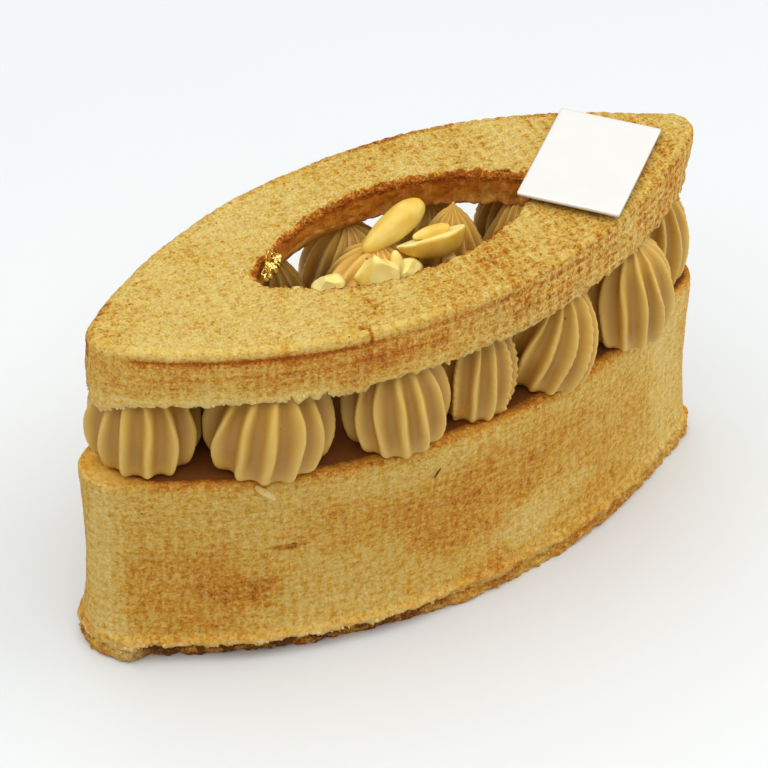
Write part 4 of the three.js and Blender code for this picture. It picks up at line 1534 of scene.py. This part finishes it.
LEAF_MIDDLE = np.array((-20.9, 2.5, 63.6))
LEAF_ACROSS, LEAF_DOWN = np.array((0.86, 0.50, 0.08)), np.array((0.12, -0.36, -0.92))
LEAF_OUT = np.array((0.40, -0.77, 0.46))
LEAF_WIDE, LEAF_LONG, LEAF_SKEW, HALF_LEAF = 2.3, 2.1, 0.55, 0.03
LEAF_POINTS, LEAF_RINGS = 120, 16
turn = np.linspace(0, 2 * math.pi, LEAF_POINTS, endpoint=False)
outline = np.column_stack([np.cos(turn), np.sin(turn), 0 * turn])
ragged = 1 + 0.30 * lumps(outline, 0.7, 301) + 0.16 * lumps(outline, 0.22, 302)
to_edge = np.linspace(0, 1, LEAF_RINGS)
rings = []
for side_of_leaf, shares in ((HALF_LEAF, to_edge), (-HALF_LEAF, to_edge[::-1])):
    for share in shares:
        flat = outline * (share * ragged)[:, None]
        flat[:, 0] *= 1.0 + LEAF_SKEW * flat[:, 1]
        sheet = flat[:, :1] * LEAF_ACROSS * LEAF_WIDE + flat[:, 1:2] * LEAF_DOWN * LEAF_LONG + LEAF_MIDDLE
        crease_up = 0.45 * lumps(sheet, 1.3, 303) + 0.25 * np.abs(lumps(sheet, 0.6, 304)) + side_of_leaf
        slide = 0.25 * lumps(sheet, 0.8, 305)
        rings.append(sheet + crease_up[:, None] * LEAF_OUT + slide[:, None] * LEAF_DOWN)
leaf = skin_of_rings("gold_leaf", np.array(rings), {})
close_and_smooth(leaf)
finish_piece(leaf, gold, "root")

# %% [markdown]
# ## Plaque
# A thin sheet of white chocolate, cut with eased corners. It is left plain. It lies on the lid
# with its near edge a little raised, and it bows by a tenth of a millimetre, as a sheet that set
# in the cold does. A bevelled box would serve, but rings from the middle of the underside round
# the eased edge to the middle of the top can carry the bow.

# %% Plaque finish
plaque_finish, tree, shader = new_material("white_chocolate")
tint = mottle(tree, 6.0, 2.0, 0.5, seed=0.83)
plaque_colour = colours(tree, tint, [(0.3, (0.782, 0.770, 0.728)), (0.7, (0.798, 0.790, 0.756))])
set_inputs(tree, shader, Base_Color=plaque_colour, Roughness=0.32,
           Subsurface_Weight=0.15, Subsurface_Radius=(1.0, 0.9, 0.7), Subsurface_Scale=0.8 * MM)
relief(tree, shader, mottle(tree, 1.5, 3.0, 0.5, seed=0.9), 0.02)
print("plaque finish ready")

# %% Plaque
PLAQUE_WIDTH, PLAQUE_LENGTH, PLAQUE_THICK, PLAQUE_CORNER = 16.8, 23.2, 0.6, 0.4
PLAQUE_X, PLAQUE_Y, PLAQUE_TURN, PLAQUE_LIFT, PLAQUE_TILT = 33.9, -2.3, -0.858, 0.95, 0.012
PLAQUE_EASE, PLAQUE_BOW = 0.07, 0.12
CORNER_STEPS, EDGE_STEP = 8, 0.8


def rounded_rectangle(width, length, corner):
    """Points round a rectangle with rounded corners, evenly spaced along its edges."""
    across, lengthwise = width / 2 - corner, length / 2 - corner
    made = []
    for side_x, side_y, start in ((1, 1, 0), (-1, 1, 90), (-1, -1, 180), (1, -1, 270)):
        cx, cy = side_x * across, side_y * lengthwise
        for angle in np.radians(np.linspace(start, start + 90, CORNER_STEPS)):
            made.append((cx + corner * math.cos(angle), cy + corner * math.sin(angle)))
    made = np.array(made)
    closed = np.vstack([made, made[:1]])
    dense = []
    for a, b in zip(closed[:-1], closed[1:]):
        count = max(1, int(np.linalg.norm(b - a) / EDGE_STEP))
        dense += [a + (b - a) * k / count for k in range(count)]
    return np.array(dense)


edge = rounded_rectangle(PLAQUE_WIDTH, PLAQUE_LENGTH, PLAQUE_CORNER)
# (way from the edge to the middle, height) of the lower half; the upper half is its mirror image
lower_half = [(1.0, 0.0), (0.6, 0.0), (0.06, 0.0), (0.015, 0.0), (0.0, PLAQUE_EASE)]
sections = lower_half + [(share, PLAQUE_THICK - high) for share, high in reversed(lower_half)]
rings = [np.column_stack([edge * (1 - share), np.full(len(edge), high)]) for share, high in sections]
rings = np.array(rings)
rings[:, :, 2] += PLAQUE_BOW * (rings[:, :, 1] / (PLAQUE_LENGTH / 2)) ** 2
plaque = skin_of_rings("plaque_chocolate", rings, {})
lean = Matrix.Rotation(-PLAQUE_TILT, 3, "X") @ Matrix.Rotation(-LID_TOP_SLOPE, 3, "Y")
turn = np.array(lean @ Matrix.Rotation(PLAQUE_TURN, 3, "Z"))
set_corners(plaque, corners_of(plaque) @ turn.T + (PLAQUE_X, PLAQUE_Y, lid_top(PLAQUE_X) + PLAQUE_LIFT))
close_and_smooth(plaque)
finish_piece(plaque, plaque_finish, "root", ["plaque"])

# %% [markdown]
# ## Floor
# A wide pale sheet, seen only as the white round the cake. Far behind the cake it is painted a little darker
# and warmer, as painted shade.

# %% Floor
FLOOR_HALF = 1.5
floor_mesh = bpy.data.meshes.new("floor")
floor_corners = [(x * FLOOR_HALF, y * FLOOR_HALF, 0) for x, y in ((-1, -1), (1, -1), (1, 1), (-1, 1))]
floor_mesh.from_pydata(floor_corners, [], [(0, 1, 2, 3)])
floor = bpy.data.objects.new("floor", floor_mesh)
scene.collection.objects.link(floor)
paper, tree, shader = new_material("white_paper")
clouds = mottle(tree, 40.0, 1.0, 0.5)
near_tone = colours(tree, clouds, [(0.0, (0.772, 0.797, 0.802)), (1.0, (0.780, 0.805, 0.810))])
# painted shade: far behind the cake the paper is a little darker and warmer
far = split_vector(tree, place_of(tree))[1].between(0.12, 0.50)
paper_colour = blend_colours(tree, far, near_tone, (0.770, 0.785, 0.785))
set_inputs(tree, shader, Base_Color=paper_colour, Roughness=0.9, Specular_IOR_Level=0.1)
floor_mesh.materials.append(paper)
print("floor", 2 * FLOOR_HALF, "m wide")
